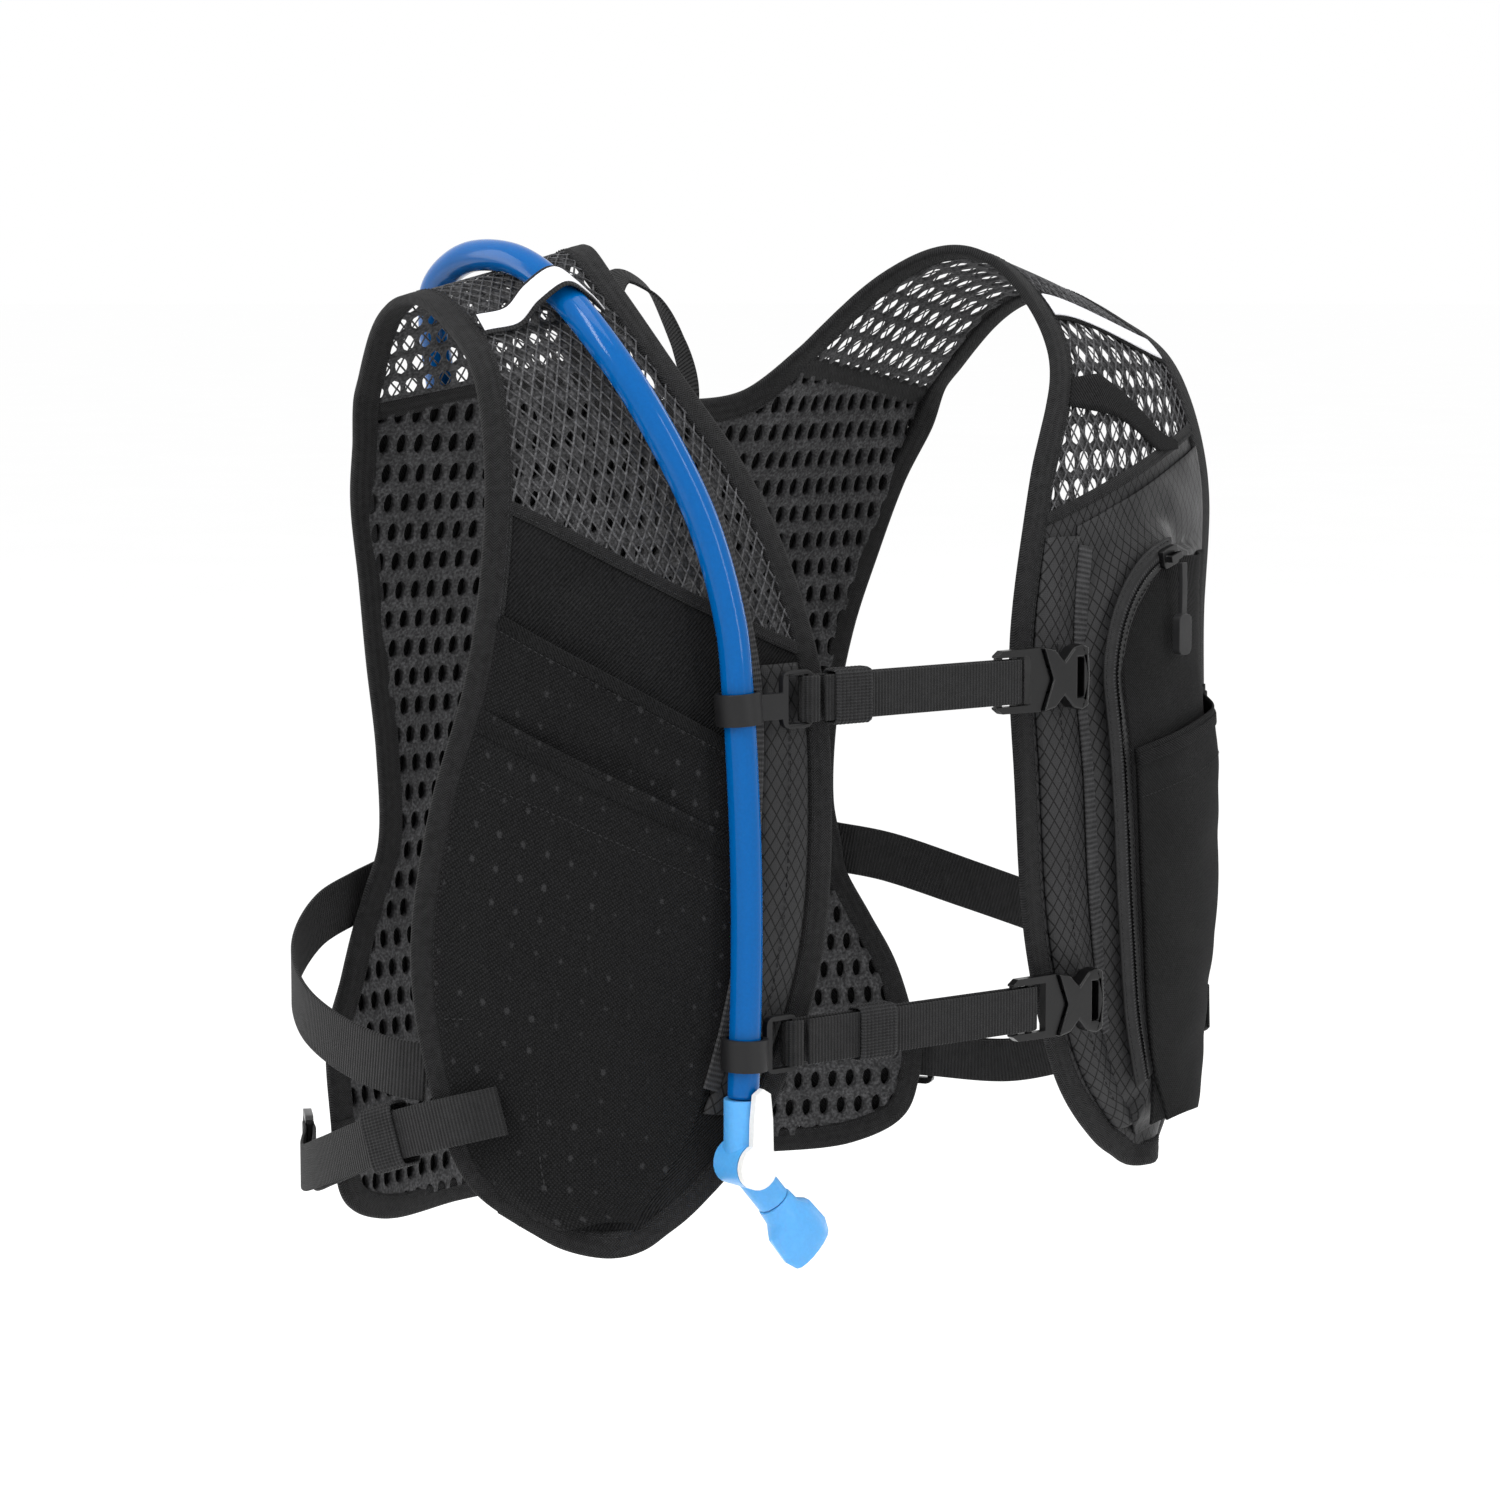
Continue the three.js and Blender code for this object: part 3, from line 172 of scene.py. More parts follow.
def cloth_shader(name, low, high, pitch, depth, twill=False, roughness=0.9, sheen=0.02):
    """Fine woven or twilled cloth: threads cross at pitch, with a soft uneven tone."""
    s = Shader(name, grey(low), roughness, Sheen_Weight=sheen, Sheen_Roughness=0.5,
               Specular_IOR_Level=0.06)
    across, along = s.weave()
    if twill:
        diagonal = s.math("ADD", across, s.math("MULTIPLY", along, 0.8))
        threads = s.wave(diagonal, pitch)
        fine = s.wave(s.math("SUBTRACT", across, along), pitch * 0.75)
        height = s.math("MULTIPLY_ADD", fine, 0.35, threads)
    else:
        height = s.math("MULTIPLY", s.wave(across, pitch), s.wave(along, pitch))
    cloudy = s.noise(38, 3)
    fibre = s.math("POWER", s.noise(1300, 2), 2.0)
    tone = s.math("MULTIPLY_ADD", cloudy, 0.35, s.math("MULTIPLY", height, 0.35))
    s.tint(s.math("ADD", tone, s.math("MULTIPLY_ADD", fibre, 0.9, -0.3)), grey(low), grey(high))
    s.bump(height, depth)
    return s.material


def see_through_shader(name, low, high, speck):
    """Thin stretch mesh with painted glints: faint bright specks of painted light in its holes."""
    s = Shader(name, grey(low), 0.9, Sheen_Weight=0.02, Specular_IOR_Level=0.06)
    across, along = s.weave()
    knit = s.math("MULTIPLY", s.wave(s.math("ADD", across, along), 1.5),
                  s.wave(s.math("SUBTRACT", across, along), 1.5))
    fibre = s.math("POWER", s.noise(1300, 2), 2.0)
    # Painted glints: bright specks in the holes, patchy and clustered, are painted light added to the base
    # colour.
    holes = s.math("POWER", s.math("MULTIPLY", s.wave(across, 8.8), s.wave(along, 11)), 26.0)
    patchy = s.math("POWER", s.noise(46, 2), 8.0)
    points = s.math("POWER", s.noise(2200, 1), 4.0)
    glint = s.math("MULTIPLY", s.math("MULTIPLY", holes, patchy), points)
    base = s.math("MULTIPLY_ADD", knit, 0.5, s.math("MULTIPLY", fibre, 0.7))
    s.tint(s.math("MULTIPLY_ADD", glint, speck, base), grey(low), grey(high))
    s.bump(knit, 0.0003)
    return s.material


def ripstop_shader(name):
    """Thin coated cloth with a raised, darker diamond grid and a slight satin sheen."""
    s = Shader(name, grey(0.012), 0.48, Specular_IOR_Level=0.16)
    across, along = s.weave()
    grid = []
    for sign in (1, -1):
        line = s.math("MULTIPLY_ADD", along, 0.62 * sign, across)
        distance = s.math("PINGPONG", line, 2.2)
        grid.append(s.math("LESS_THAN", distance, 0.28))
    raised = s.math("MAXIMUM", *grid)
    fine = s.math("MULTIPLY", s.wave(across, 0.7), s.wave(along, 0.7))
    height = s.math("MULTIPLY_ADD", fine, 0.25, s.math("MULTIPLY_ADD", s.noise(90, 4), 1.2, raised))
    s.tint(s.math("MULTIPLY_ADD", raised, -0.9, s.math("MULTIPLY_ADD", s.noise(30, 3), 0.6, 0.5)),
           grey(0.001), grey(0.024))
    s.rough(s.noise(60), 0.42, 0.62)
    s.bump(height, 0.00022)
    return s.material


def mesh_shader(name, low, high):
    """Knitted mesh: fuzzy strands, lighter here and there."""
    s = Shader(name, grey(low), 0.8, Sheen_Weight=0.03, Sheen_Roughness=0.4,
               Specular_IOR_Level=0.15)
    knit = s.noise(900, 3)
    cloudy = s.noise(60, 2)
    s.tint(s.math("MULTIPLY", s.math("POWER", knit, 2.2), s.math("MULTIPLY_ADD", cloudy, 2.0, 1.0)),
           grey(low), grey(high))
    s.bump(s.noise(1100, 4), 0.0004)
    return s.material


def binding_shader(name):
    """Woven edge tape with herringbone ribs."""
    s = Shader(name, grey(0.008), 0.8, Sheen_Weight=0.03, Specular_IOR_Level=0.12)
    across, along = s.weave()
    zigzag = s.math("PINGPONG", across, 1.6)
    ribs = s.wave(s.math("ADD", along, zigzag), 0.95)
    s.tint(s.math("MULTIPLY_ADD", s.noise(420, 2), 0.7, s.math("MULTIPLY_ADD", ribs, 0.5, -0.2)),
           grey(0.001), grey(0.024))
    s.bump(ribs, 0.0003)
    return s.material


def webbing_shader(name, pitch=1.4, low=0.002, high=0.02):
    """Ribbed webbing: ribs across the strap over finer threads along it."""
    s = Shader(name, grey(low), 0.75, Sheen_Weight=0.03, Specular_IOR_Level=0.15)
    across, along = s.weave()
    ribs = s.wave(along, pitch)
    warp = s.wave(across, 0.8)
    height = s.math("MULTIPLY_ADD", warp, 0.3, ribs)
    s.tint(s.math("MULTIPLY_ADD", s.noise(300, 2), 0.5, s.math("MULTIPLY", ribs, 0.4)),
           grey(low), grey(high))
    s.bump(height, 0.0004)
    return s.material


def plastic_shader(name, color, roughness, bump=0.00004, **sockets):
    """Moulded plastic with a faint grain and slight variation in gloss."""
    s = Shader(name, color, roughness, **sockets)
    grain = s.noise(900, 3)
    s.rough(s.noise(120, 3), roughness * 0.8, min(1.0, roughness * 1.3))
    s.tint(grain, tuple(c * 0.88 for c in color), tuple(min(1, c * 1.1) for c in color))
    s.bump(grain, bump)
    return s.material


def zip_shader(name):
    """Zip tape: woven cloth with ribs across its middle, under the coil."""
    s = Shader(name, grey(0.008), 0.6, Specular_IOR_Level=0.2)
    across, along = s.weave()
    middle = s.math("LESS_THAN", s.math("ABSOLUTE", across), 1.5)
    teeth = s.math("MULTIPLY", s.wave(along, 1.3), middle)
    height = s.math("MULTIPLY_ADD", teeth, 1.0, s.math("MULTIPLY", s.wave(along, 0.6), 0.15))
    s.tint(s.math("MULTIPLY_ADD", s.noise(200), 0.25, s.math("MULTIPLY", teeth, 0.7)),
           grey(0.005), grey(0.05))
    s.bump(height, 0.0006)
    return s.material


MAT = {
    "stretch": cloth_shader("stretch_knit", 0.001, 0.021, 1.25, 0.00035, twill=True),
    "pocket": cloth_shader("pocket_stretch", 0.001, 0.019, 1.1, 0.0003, twill=True),
    "see_through": see_through_shader("thin_stretch_mesh", 0.001, 0.022, 2600.0),
    "ripstop": ripstop_shader("ripstop_cloth"),
    "air_mesh": mesh_shader("spacer_mesh", 0.004, 0.075),
    "net": mesh_shader("diamond_net", 0.012, 0.12),
    "binding": binding_shader("edge_tape"),
    "webbing": webbing_shader("ribbed_webbing"),
    "rail": webbing_shader("ladder_tape", 1.9, 0.004, 0.06),
    "elastic": webbing_shader("elastic_band", 1.1, 0.004, 0.03),
    "thread": cloth_shader("sewing_thread", 0.015, 0.06, 0.6, 0.0001),
    "foam": mesh_shader("foam", 0.006, 0.02),
    "gloss": plastic_shader("gloss_black", (0.002, 0.002, 0.0022), 0.3, Specular_IOR_Level=0.32),
    "grey": plastic_shader("rubbery_grey", (0.006, 0.006, 0.0065), 0.5, Specular_IOR_Level=0.25),
    "label": cloth_shader("white_label", 0.6, 0.75, 0.5, 0.00004, roughness=0.5, sheen=0.0),
    "zip": zip_shader("coil_zip"),
    "tube": plastic_shader("blue_tube", (0.0, 0.075, 0.26), 0.14, 0.00001,
                           Specular_IOR_Level=0.09, Coat_Weight=0.15, Coat_Roughness=0.04,
                           Subsurface_Weight=0.1, Subsurface_Scale=0.003),
    "valve": plastic_shader("blue_valve", (0.07, 0.29, 0.6), 0.3, 0.00002,
                            Specular_IOR_Level=0.3,
                            Subsurface_Weight=0.3, Subsurface_Scale=0.004),
    "lever": plastic_shader("white_lever", (0.62, 0.62, 0.61), 0.35, 0.00002, Coat_Weight=0.2),
    "film": plastic_shader("bladder_film", (0.35, 0.55, 0.72), 0.15, 0.00003,
                           Transmission_Weight=0.6),
}


# ------------------------------------------------------------------ mesh helpers
def build(name, points, faces, material, body="vest", uv=None, replaces=(), slot=None,
          smooth=True):
    """A mesh object from points in millimetres, riding on a CAD body."""
    mesh = bpy.data.meshes.new(name)
    points = np.asarray(points, float)
    mesh.from_pydata((points * MM).tolist(), [], [list(map(int, f)) for f in faces])
    mesh.validate()
    if uv is not None:
        layer = mesh.uv_layers.new(name="weave")
        corners = np.zeros(len(mesh.loops), np.int32)
        mesh.loops.foreach_get("vertex_index", corners)
        layer.data.foreach_set("uv", np.asarray(uv, np.float32)[corners].ravel())
    mesh.polygons.foreach_set("use_smooth", [smooth] * len(mesh.polygons))
    mesh.materials.append(material)
    obj = bpy.data.objects.new(name, mesh)
    bpy.context.scene.collection.objects.link(obj)
    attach(obj, body)
    if replaces:
        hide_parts(*replaces)
    return obj


def outward(points, faces):
    """The faces, all turned round where the closed body comes out inside out."""
    p = np.asarray(points, float)
    volume = 0.0
    for f in faces:
        for k in range(1, len(f) - 1):
            volume += np.dot(p[f[0]], np.cross(p[f[k]], p[f[k + 1]]))
    return faces if volume > 0 else [tuple(reversed(f)) for f in faces]


def unit(v):
    v = np.asarray(v, float)
    return v / np.maximum(np.linalg.norm(v, axis=-1, keepdims=True), 1e-9)


def mix(low, high, share):
    return low + (high - low) * share


def run_length(path):
    """Distance along a path at each of its points."""
    return np.concatenate([[0], np.cumsum(np.linalg.norm(np.diff(path, axis=0), axis=1))])


def sample(values, length, where):
    """Vectors given at the distances in length, read at the distances in where."""
    return np.stack([np.interp(where, length, values[:, k]) for k in range(3)], -1)


def ring_faces(n, m):
    """Faces of a closed body: n lines of m points side by side in a ring, with flat ends."""
    faces = [(i * m + j, (i + 1) % n * m + j, (i + 1) % n * m + j + 1, i * m + j + 1)
             for i in range(n) for j in range(m - 1)]
    return faces + [tuple(i * m for i in range(n))[::-1], tuple(i * m + m - 1 for i in range(n))]


def grid_faces(n, m, start=0, turned=False):
    i, j = np.meshgrid(np.arange(n - 1), np.arange(m - 1), indexing="ij")
    a = start + i * m + j
    quads = np.stack([a, a + m, a + m + 1, a + 1], -1).reshape(-1, 4)
    return (quads[:, ::-1] if turned else quads).tolist()


def cloth_uv(low):
    """Distances over a grid of points (n across, m along), centred across."""
    across = np.linalg.norm(np.diff(low, axis=0), axis=-1)
    s = np.vstack([np.zeros((1, low.shape[1])), np.cumsum(across, 0)])
    s = s - s[low.shape[0] // 2]
    along = np.linalg.norm(np.diff(low[low.shape[0] // 2], axis=0), axis=-1)
    t = np.concatenate([[0], np.cumsum(along)])
    return np.stack([s, np.broadcast_to(t, s.shape)], -1).reshape(-1, 2)


def sheet(name, surface, columns, rows, material, **more):
    """Closed cloth sheet: surface(u, v) gives its lower and upper points."""
    u, v = np.meshgrid(columns, rows, indexing="ij")
    low, high = surface(u, v)
    n, m = u.shape
    faces = grid_faces(n, m, 0, True) + grid_faces(n, m, n * m)
    rim = [(i, 0) for i in range(n)] + [(n - 1, j) for j in range(1, m)]
    rim += [(i, m - 1) for i in range(n - 2, -1, -1)] + [(0, j) for j in range(m - 2, 0, -1)]
    index = [i * m + j for i, j in rim]
    for a, b in zip(index, index[1:] + index[:1]):
        faces.append((a, b, b + n * m, a + n * m))
    points = np.vstack([low.reshape(-1, 3), high.reshape(-1, 3)])
    uv = cloth_uv(low)
    return build(name, points, outward(points, faces), material, uv=np.vstack([uv, uv]), **more)


def sweep_points(path, across, normal, profile):
    """Points of a closed profile (across, normal) carried along a path."""
    profile = np.asarray(profile, float)
    return (path[:, None] + across[:, None] * profile[None, :, 0, None]
            + normal[:, None] * profile[None, :, 1, None])


def sweep(name, path, across, normal, profile, material, closed=False, **more):
    """Tape or tube: a closed profile swept along a path of points."""
    path = np.asarray(path, float)
    rings = sweep_points(path, unit(across), unit(normal), profile)
    n, m = rings.shape[:2]
    faces = []
    for i in range(n if closed else n - 1):
        for k in range(m):
            a, b = i * m + k, i * m + (k + 1) % m
            c, d = (i + 1) % n * m + (k + 1) % m, (i + 1) % n * m + k
            faces.append((a, b, c, d))
    if not closed:
        faces.append(tuple(range(m))[::-1])
        faces.append(tuple((n - 1) * m + k for k in range(m)))
    across_mm = np.asarray(profile, float)[:, 0]
    uv = np.stack(np.broadcast_arrays(across_mm[None, :], run_length(path)[:, None]), -1)
    uv = uv.reshape(-1, 2)
    points = rings.reshape(-1, 3)
    return build(name, points, outward(points, faces), material, uv=uv, **more)


def tape_profile(width, thickness):
    """Flat strap section with rounded edges."""
    half, h = width / 2, thickness / 2
    inner = half - h
    flat = np.linspace(-inner, inner, 7)
    right = [(inner + h * math.cos(a), h * math.sin(a))
             for a in np.linspace(math.pi / 2, -math.pi / 2, 7)[1:-1]]
    left = [(-x, -y) for x, y in right]
    return [(x, h) for x in flat] + right + [(x, -h) for x in flat[::-1]] + left


def round_profile(radius, count):
    return [(radius * math.cos(a), radius * math.sin(a))
            for a in np.linspace(0, 2 * math.pi, count, endpoint=False)]


def curve_through(points, count):
    """Even points on a smooth curve (centripetal Catmull-Rom) through the given ones."""
    p = np.asarray(points, float)
    q = np.vstack([2 * p[:1] - p[1:2], p, 2 * p[-1:] - p[-2:-1]])
    dense = []
    for i in range(len(q) - 3):
        a, b, c, d = q[i:i + 4]
        knots = [0.0]
        for x, y in ((a, b), (b, c), (c, d)):
            knots.append(knots[-1] + max(np.linalg.norm(y - x), 1e-6) ** 0.5)
        t = np.linspace(knots[1], knots[2], 24, endpoint=False)[:, None]

        def blend(x, y, i0, i1):
            return ((knots[i1] - t) * x + (t - knots[i0]) * y) / (knots[i1] - knots[i0])

        ab, bc, cd = blend(a, b, 0, 1), blend(b, c, 1, 2), blend(c, d, 2, 3)
        dense.append(blend(blend(ab, bc, 0, 2), blend(bc, cd, 1, 3), 1, 2))
    dense = np.vstack(dense + [p[-1:]])
    length = run_length(dense)
    return sample(dense, length, np.linspace(0, length[-1], count))


def tangents(path):
    return unit(np.gradient(path, axis=0))


def ribbon(name, points, across, width, thickness, material, count, **more):
    """Strap along a smooth path whose flat side's width lies along across."""
    path = curve_through(points, count)
    across = np.broadcast_to(np.asarray(across, float), path.shape)
    along = tangents(path)
    across = unit(across - along * np.sum(across * along, -1, keepdims=True))
    return sweep(name, path, across, np.cross(along, across), tape_profile(width, thickness),
                 material, **more)


def stitches(name, path, across, normal, material, pitch=3.0, long=2.0, thick=0.55, **more):
    """A row of sewn stitches, each a short raised thread along the path."""
    path = np.asarray(path, float)
    length = run_length(path)
    starts = np.arange(pitch / 2, length[-1] - long, pitch)
    points, faces, uv = [], [], []
    section = [(-0.5, 0.0), (0.0, 0.5), (0.5, 0.0), (0.0, -0.5)]
    for start in starts:
        base = len(points)
        for step, f in enumerate((0.0, 0.25, 0.75, 1.0)):
            where = start + long * f
            size = thick * (0.35 if step in (0, 3) else 1.0)
            lift = -0.15 if step in (0, 3) else thick * 0.25
            p = sample(path, length, where)
            a, n = unit(sample(across, length, where)), unit(sample(normal, length, where))
            for x, y in section:
                points.append(p + a * x * size + n * (y * size + lift))
                uv.append((x, where))
        for ring in range(3):
            for k in range(4):
                a, b = base + ring * 4 + k, base + ring * 4 + (k + 1) % 4
                faces.append((a, b, b + 4, a + 4))
        faces.append(tuple(base + k for k in (3, 2, 1, 0)))
        faces.append(tuple(base + 12 + k for k in range(4)))
    return build(name, points, outward(points, faces), material, uv=uv, **more)


def lattice(name, surface, columns, rows, cell, hole, thickness, material, diamond=False, **more):
    """Open mesh of holes; surface(a, b, h) maps distances and a height to points."""
    w, h = cell
    if diamond:
        outer = [(-1, 0), (-0.5, -0.5), (0, -1), (0.5, -0.5), (1, 0), (0.5, 0.5), (0, 1), (-0.5, 0.5)]
        outer = np.array(outer) * (w / 2, h / 2)
        inner = outer * (hole[0] / w, hole[1] / h)
        rings = [(outer, 1.0), (inner, 0.5), (outer, 0.0)]
    else:
        edge = [(-1, -1), (0, -1), (1, -1), (1, -0.5), (1, 0), (1, 0.5)]
        edge = np.array(edge + [(-x, -y) for x, y in edge])
        turn = np.arctan2(edge[:, 1], edge[:, 0])
        outer = edge * (w / 2, h / 2)
        oval = np.stack([np.cos(turn) * hole[0] / 2, np.sin(turn) * hole[1] / 2], 1)
        rings = [(outer, 1.0), (oval * 1.1, 1.0), (oval, 0.5), (oval * 1.1, 0.0), (outer, 0.0)]
    centres = []
    step = h / 2 if diamond else h
    count = int(round((rows[1] - rows[0]) / step))
    for j in range(count + 1):
        shift = w / 2 if j % 2 else 0
        for i in range(int((columns[1] - columns[0]) / w) + 2):
            centres.append((columns[0] + i * w + shift, rows[0] + j * step))
    centres = np.array(centres)
    n = len(outer)
    ab, heights = [], []
    for offsets, height in rings:
        ab.append(centres[:, None] + offsets[None])
        heights.append(np.full((len(centres), n), height * thickness))
    ab, heights = np.stack(ab, 1), np.stack(heights, 1)
    ab[..., 0] = np.clip(ab[..., 0], *columns)
    ab[..., 1] = np.clip(ab[..., 1], *rows)
    points = surface(ab[..., 0], ab[..., 1], heights)
    k = np.arange(n)
    quads = []
    for ring in range(len(rings) - 1):
        a = ring * n + k
        b = ring * n + (k + 1) % n
        quads.append(np.stack([a, b, b + n, a + n], -1))
    quads = np.concatenate(quads)
    base = np.arange(len(centres)) * len(rings) * n
    faces = (base[:, None, None] + quads[None]).reshape(-1, 4)
    flat = points.reshape(-1, 3)
    corners = flat[faces]
    size = np.linalg.norm(np.cross(corners[:, 2] - corners[:, 0], corners[:, 3] - corners[:, 1]), axis=1)
    faces = faces[size > 0.02]
    used, index = np.unique(faces, return_inverse=True)
    uv = ab.reshape(-1, 2)
    return build(name, flat[used], index.reshape(-1, 4).tolist(), material, uv=uv[used], **more)


def folds(points, size, amount, seed):
    """Soft folds: a smooth field of heights over the points, in millimetres."""
    heights = [noise.noise(Vector((p / np.array(size) + seed).tolist())) for p in points.reshape(-1, 3)]
    return (np.array(heights) * amount).reshape(points.shape[:-1])


# ------------------------------------------------------------------ shape of the side strips
# Each station of a side strip: its neck edge, its arm edge, and how far it bulges between them.
STATIONS = np.array([
    (118, -84, -337, 132, -77, -337, 4), (96, -88, -324, 158, -60, -318, 8),
    (72, -94, -296, 169, -52, -290, 11), (54, -99, -246, 178, -51, -240, 13),
    (49, -99, -190, 174, -56, -190, 13), (51, -94, -140, 164, -65, -140, 10),
    (68, -85, -86, 160, -70, -86, 7), (92, -69, -42, 155, -58, -45, 3),
    (97, -40, -12, 149, -33, -26, 1), (90, -14, -1, 145, -3, -16, 0),
    (78, 14, -12, 141, 25, -25, 0), (50, 34, -43, 132, 55, -58, 0)], float)
LAST = len(STATIONS) - 1
FABRIC = 2.0
NECK, ARM, BULGE = STATIONS[:, :3], STATIONS[:, 3:6], STATIONS[:, 6]
SIDES = (("left", 1), ("right", -1))
UP = np.array([0.0, 0.0, 1.0])


def spline(points, t):
    """Smooth curve through evenly numbered points, at t from 0 to the last one."""
    t = np.clip(np.asarray(t, float), 0, len(points) - 1)
    i = np.minimum(t.astype(int), len(points) - 2)
    w = (t - i)[..., None]
    q = np.vstack([2 * points[:1] - points[1:2], points, 2 * points[-1:] - points[-2:-1]])
    p0, p1, p2, p3 = q[i], q[i + 1], q[i + 2], q[i + 3]
    t0, t1 = (p2 - p0) / 2, (p3 - p1) / 2
    return (p1 + t0 * w + (-3 * p1 + 3 * p2 - 2 * t0 - t1) * w ** 2
            + (2 * p1 - 2 * p2 + t0 + t1) * w ** 3)


def strip_base(u, row):
    """Point on the worn side of a strip: u from its neck edge to its arm edge."""
    u, row = np.broadcast_arrays(np.asarray(u, float), np.asarray(row, float))
    neck, arm = spline(NECK, row), spline(ARM, row)
    near = np.minimum(row, LAST - 0.05)

    def middle(r):
        return (spline(NECK, r) + spline(ARM, r)) / 2

    out = unit(np.cross(arm - neck, middle(near + 0.05) - middle(near)))
    bulge = np.interp(row, np.arange(LAST + 1), BULGE)
    return neck + (arm - neck) * u[..., None] + out * (bulge * 4 * u * (1 - u))[..., None]


def strip(u, row, lift=0.0, side=1):
    """Point on a strip, lifted outwards from its worn side by lift millimetres."""
    u, row, lift = np.broadcast_arrays(*(np.asarray(v, float) for v in (u, row, lift)))
    step = 0.02
    u0, r0 = np.maximum(u - step, 0), np.clip(row - step, 0, LAST - 2 * step)
    across = strip_base(u0 + 2 * step, row) - strip_base(u0, row)
    along = strip_base(u, r0 + 2 * step) - strip_base(u, r0)
    point = strip_base(u, row) + unit(np.cross(across, along)) * lift[..., None]
    return point * (side, 1, 1)


def row_at(u, z):
    """Station on the front of a strip where it is at height z."""
    u, z = np.broadcast_arrays(np.asarray(u, float), np.asarray(z, float))
    low, high = np.zeros(u.shape), np.full(u.shape, 8.0)
    for _ in range(24):
        middle = (low + high) / 2
        below = strip_base(u, middle)[..., 2] < z
        low, high = np.where(below, middle, low), np.where(below, high, middle)
    return (low + high) / 2


def ease(x):
    x = np.clip(x, 0, 1)
    return x * x * (3 - 2 * x)


def line_on(side, u, row, lift):
    """A path on a strip with its sideways and outward directions."""
    path = strip(u, row, lift, side)
    normal = unit(strip(u, row, np.asarray(lift) + 1, side) - path)
    return path, np.cross(normal, tangents(path)), normal


def tape_on(name, side, u, row, lift, width, thick, material, **more):
    path, across, normal = line_on(side, u, row, lift)
    return sweep(name, path, across, normal, tape_profile(width, thick), material, **more)


def sewn(name, side, u, row, lift, **more):
    path, across, normal = line_on(side, u, row, lift)
    return stitches(name, path, across, normal, MAT["thread"], **more)


def cloth(name, surface, columns, rows, material, **more):
    """A sheet of cloth built by sheet(); the points of its worn side are worked out, but nothing uses them.
    """
    obj = sheet(name, surface, columns, rows, material, **more)
    u, v = np.meshgrid(columns, rows, indexing="ij")
    low = surface(u, v)[0] * MM


# ------------------------------------------------------------------ front panels and yokes
# Where the open mesh starts on each side: its station at the neck edge, and how far it rises across.
NET_LINE = {1: (5.72, 0.66), -1: (5.0, 1.0)}


def net_row(side, u):
    """Station where the front cloth ends and the open mesh begins."""
    start, slope = NET_LINE[side]
    return start + slope * u


def front_panel(name, side, material, slot, seed):
    def surface(u, v):
        row = v * (net_row(side, u) + 0.06)
        crease = folds(strip(u, row, 0, side), (34, 34, 22), 0.9, seed) * ease(u * 8) * ease(8 - 8 * u)
        return strip(u, row, 0, side), strip(u, row, FABRIC - 0.5 + crease * 0.4, side)
    cloth(name, surface, np.linspace(0, 1, 41), np.linspace(0, 1, 81), material,
          replaces=(f"front_panel_{'left' if side > 0 else 'right'}",), slot=slot)
    u = np.linspace(0.02, 0.98, 60)
    tape_on(name + "_top_seam", side, u, net_row(side, u) + 0.05, 2.0, 4.5, 0.9, MAT["binding"],
            slot="tape")
    sewn(name + "_top_stitch", side, u, net_row(side, u) + 0.03, 2.6, pitch=2.4, long=1.7,
         thick=0.4, slot="tape")


front_panel("front_cloth_right", -1, MAT["stretch"], "stretch_fabric", 3.1)
front_panel("front_cloth_left", 1, MAT["ripstop"], "ripstop", 8.4)

ROWS = np.linspace(0, LAST, 221)
MIDDLE = strip_base(np.full_like(ROWS, 0.5), ROWS)
ALONG = run_length(MIDDLE)
WIDTH = np.linalg.norm(spline(ARM, ROWS) - spline(NECK, ROWS), axis=1)


def yoke(name, side, lift, cell, hole, thickness, material, diamond, overlap, **more):
    """Open mesh over the shoulder, cut off along the edges of the strip."""
    start = net_row(side, 0) - overlap

    def surface(a, b, h):
        row = np.interp(b, ALONG, ROWS)
        u = np.clip(0.5 + a / np.interp(row, ROWS, WIDTH), 0, 1)
        row = np.clip(row, net_row(side, u) - overlap, LAST - 0.02)
        return strip(u, row, lift + h, side)

    begin = float(np.interp(start, ROWS, ALONG))
    end = float(ALONG[-1])
    half = float(WIDTH[ROWS > start].max()) / 2
    return lattice(name, surface, (-half, half), (begin, end), cell, hole, thickness, material,
                   diamond=diamond, **more)


for side_name, side in SIDES:
    yoke(f"yoke_mesh_{side_name}", side, 0.0, (6.6, 10.6), (4.7, 8.2), 1.1, MAT["air_mesh"], False,
         0.3, slot="air_mesh")
    yoke(f"yoke_net_{side_name}", side, 1.7, (4.2, 7.6), (3.25, 6.2), 0.6, MAT["net"], True, -0.03,
         replaces=(f"shoulder_yoke_{side_name}",), slot="diamond_mesh")

# Plain reinforcing band across the left yoke.
BAND_TOP = np.array([(0.04, 6.86), (0.24, 6.88), (0.45, 6.66), (0.68, 6.36), (0.8, 6.3)])
BAND_LOW = np.array([(0.04, 6.62), (0.36, 6.51), (0.5, 6.38), (0.64, 6.22), (0.8, 6.24)])


def band(u, v):
    top = np.interp(u, BAND_TOP[:, 0], BAND_TOP[:, 1])
    low = np.interp(u, BAND_LOW[:, 0], BAND_LOW[:, 1])
    row = mix(low, top, v)
    return strip(u, row, 2.4), strip(u, row, 3.1)


cloth("yoke_band_left", band, np.linspace(0.04, 0.8, 24), np.linspace(0, 1, 6), MAT["stretch"],
      slot="stretch_fabric")


# ------------------------------------------------------------------ plackets and ladder tapes
PLACKET_END = {1: 0.9, -1: 2.0}


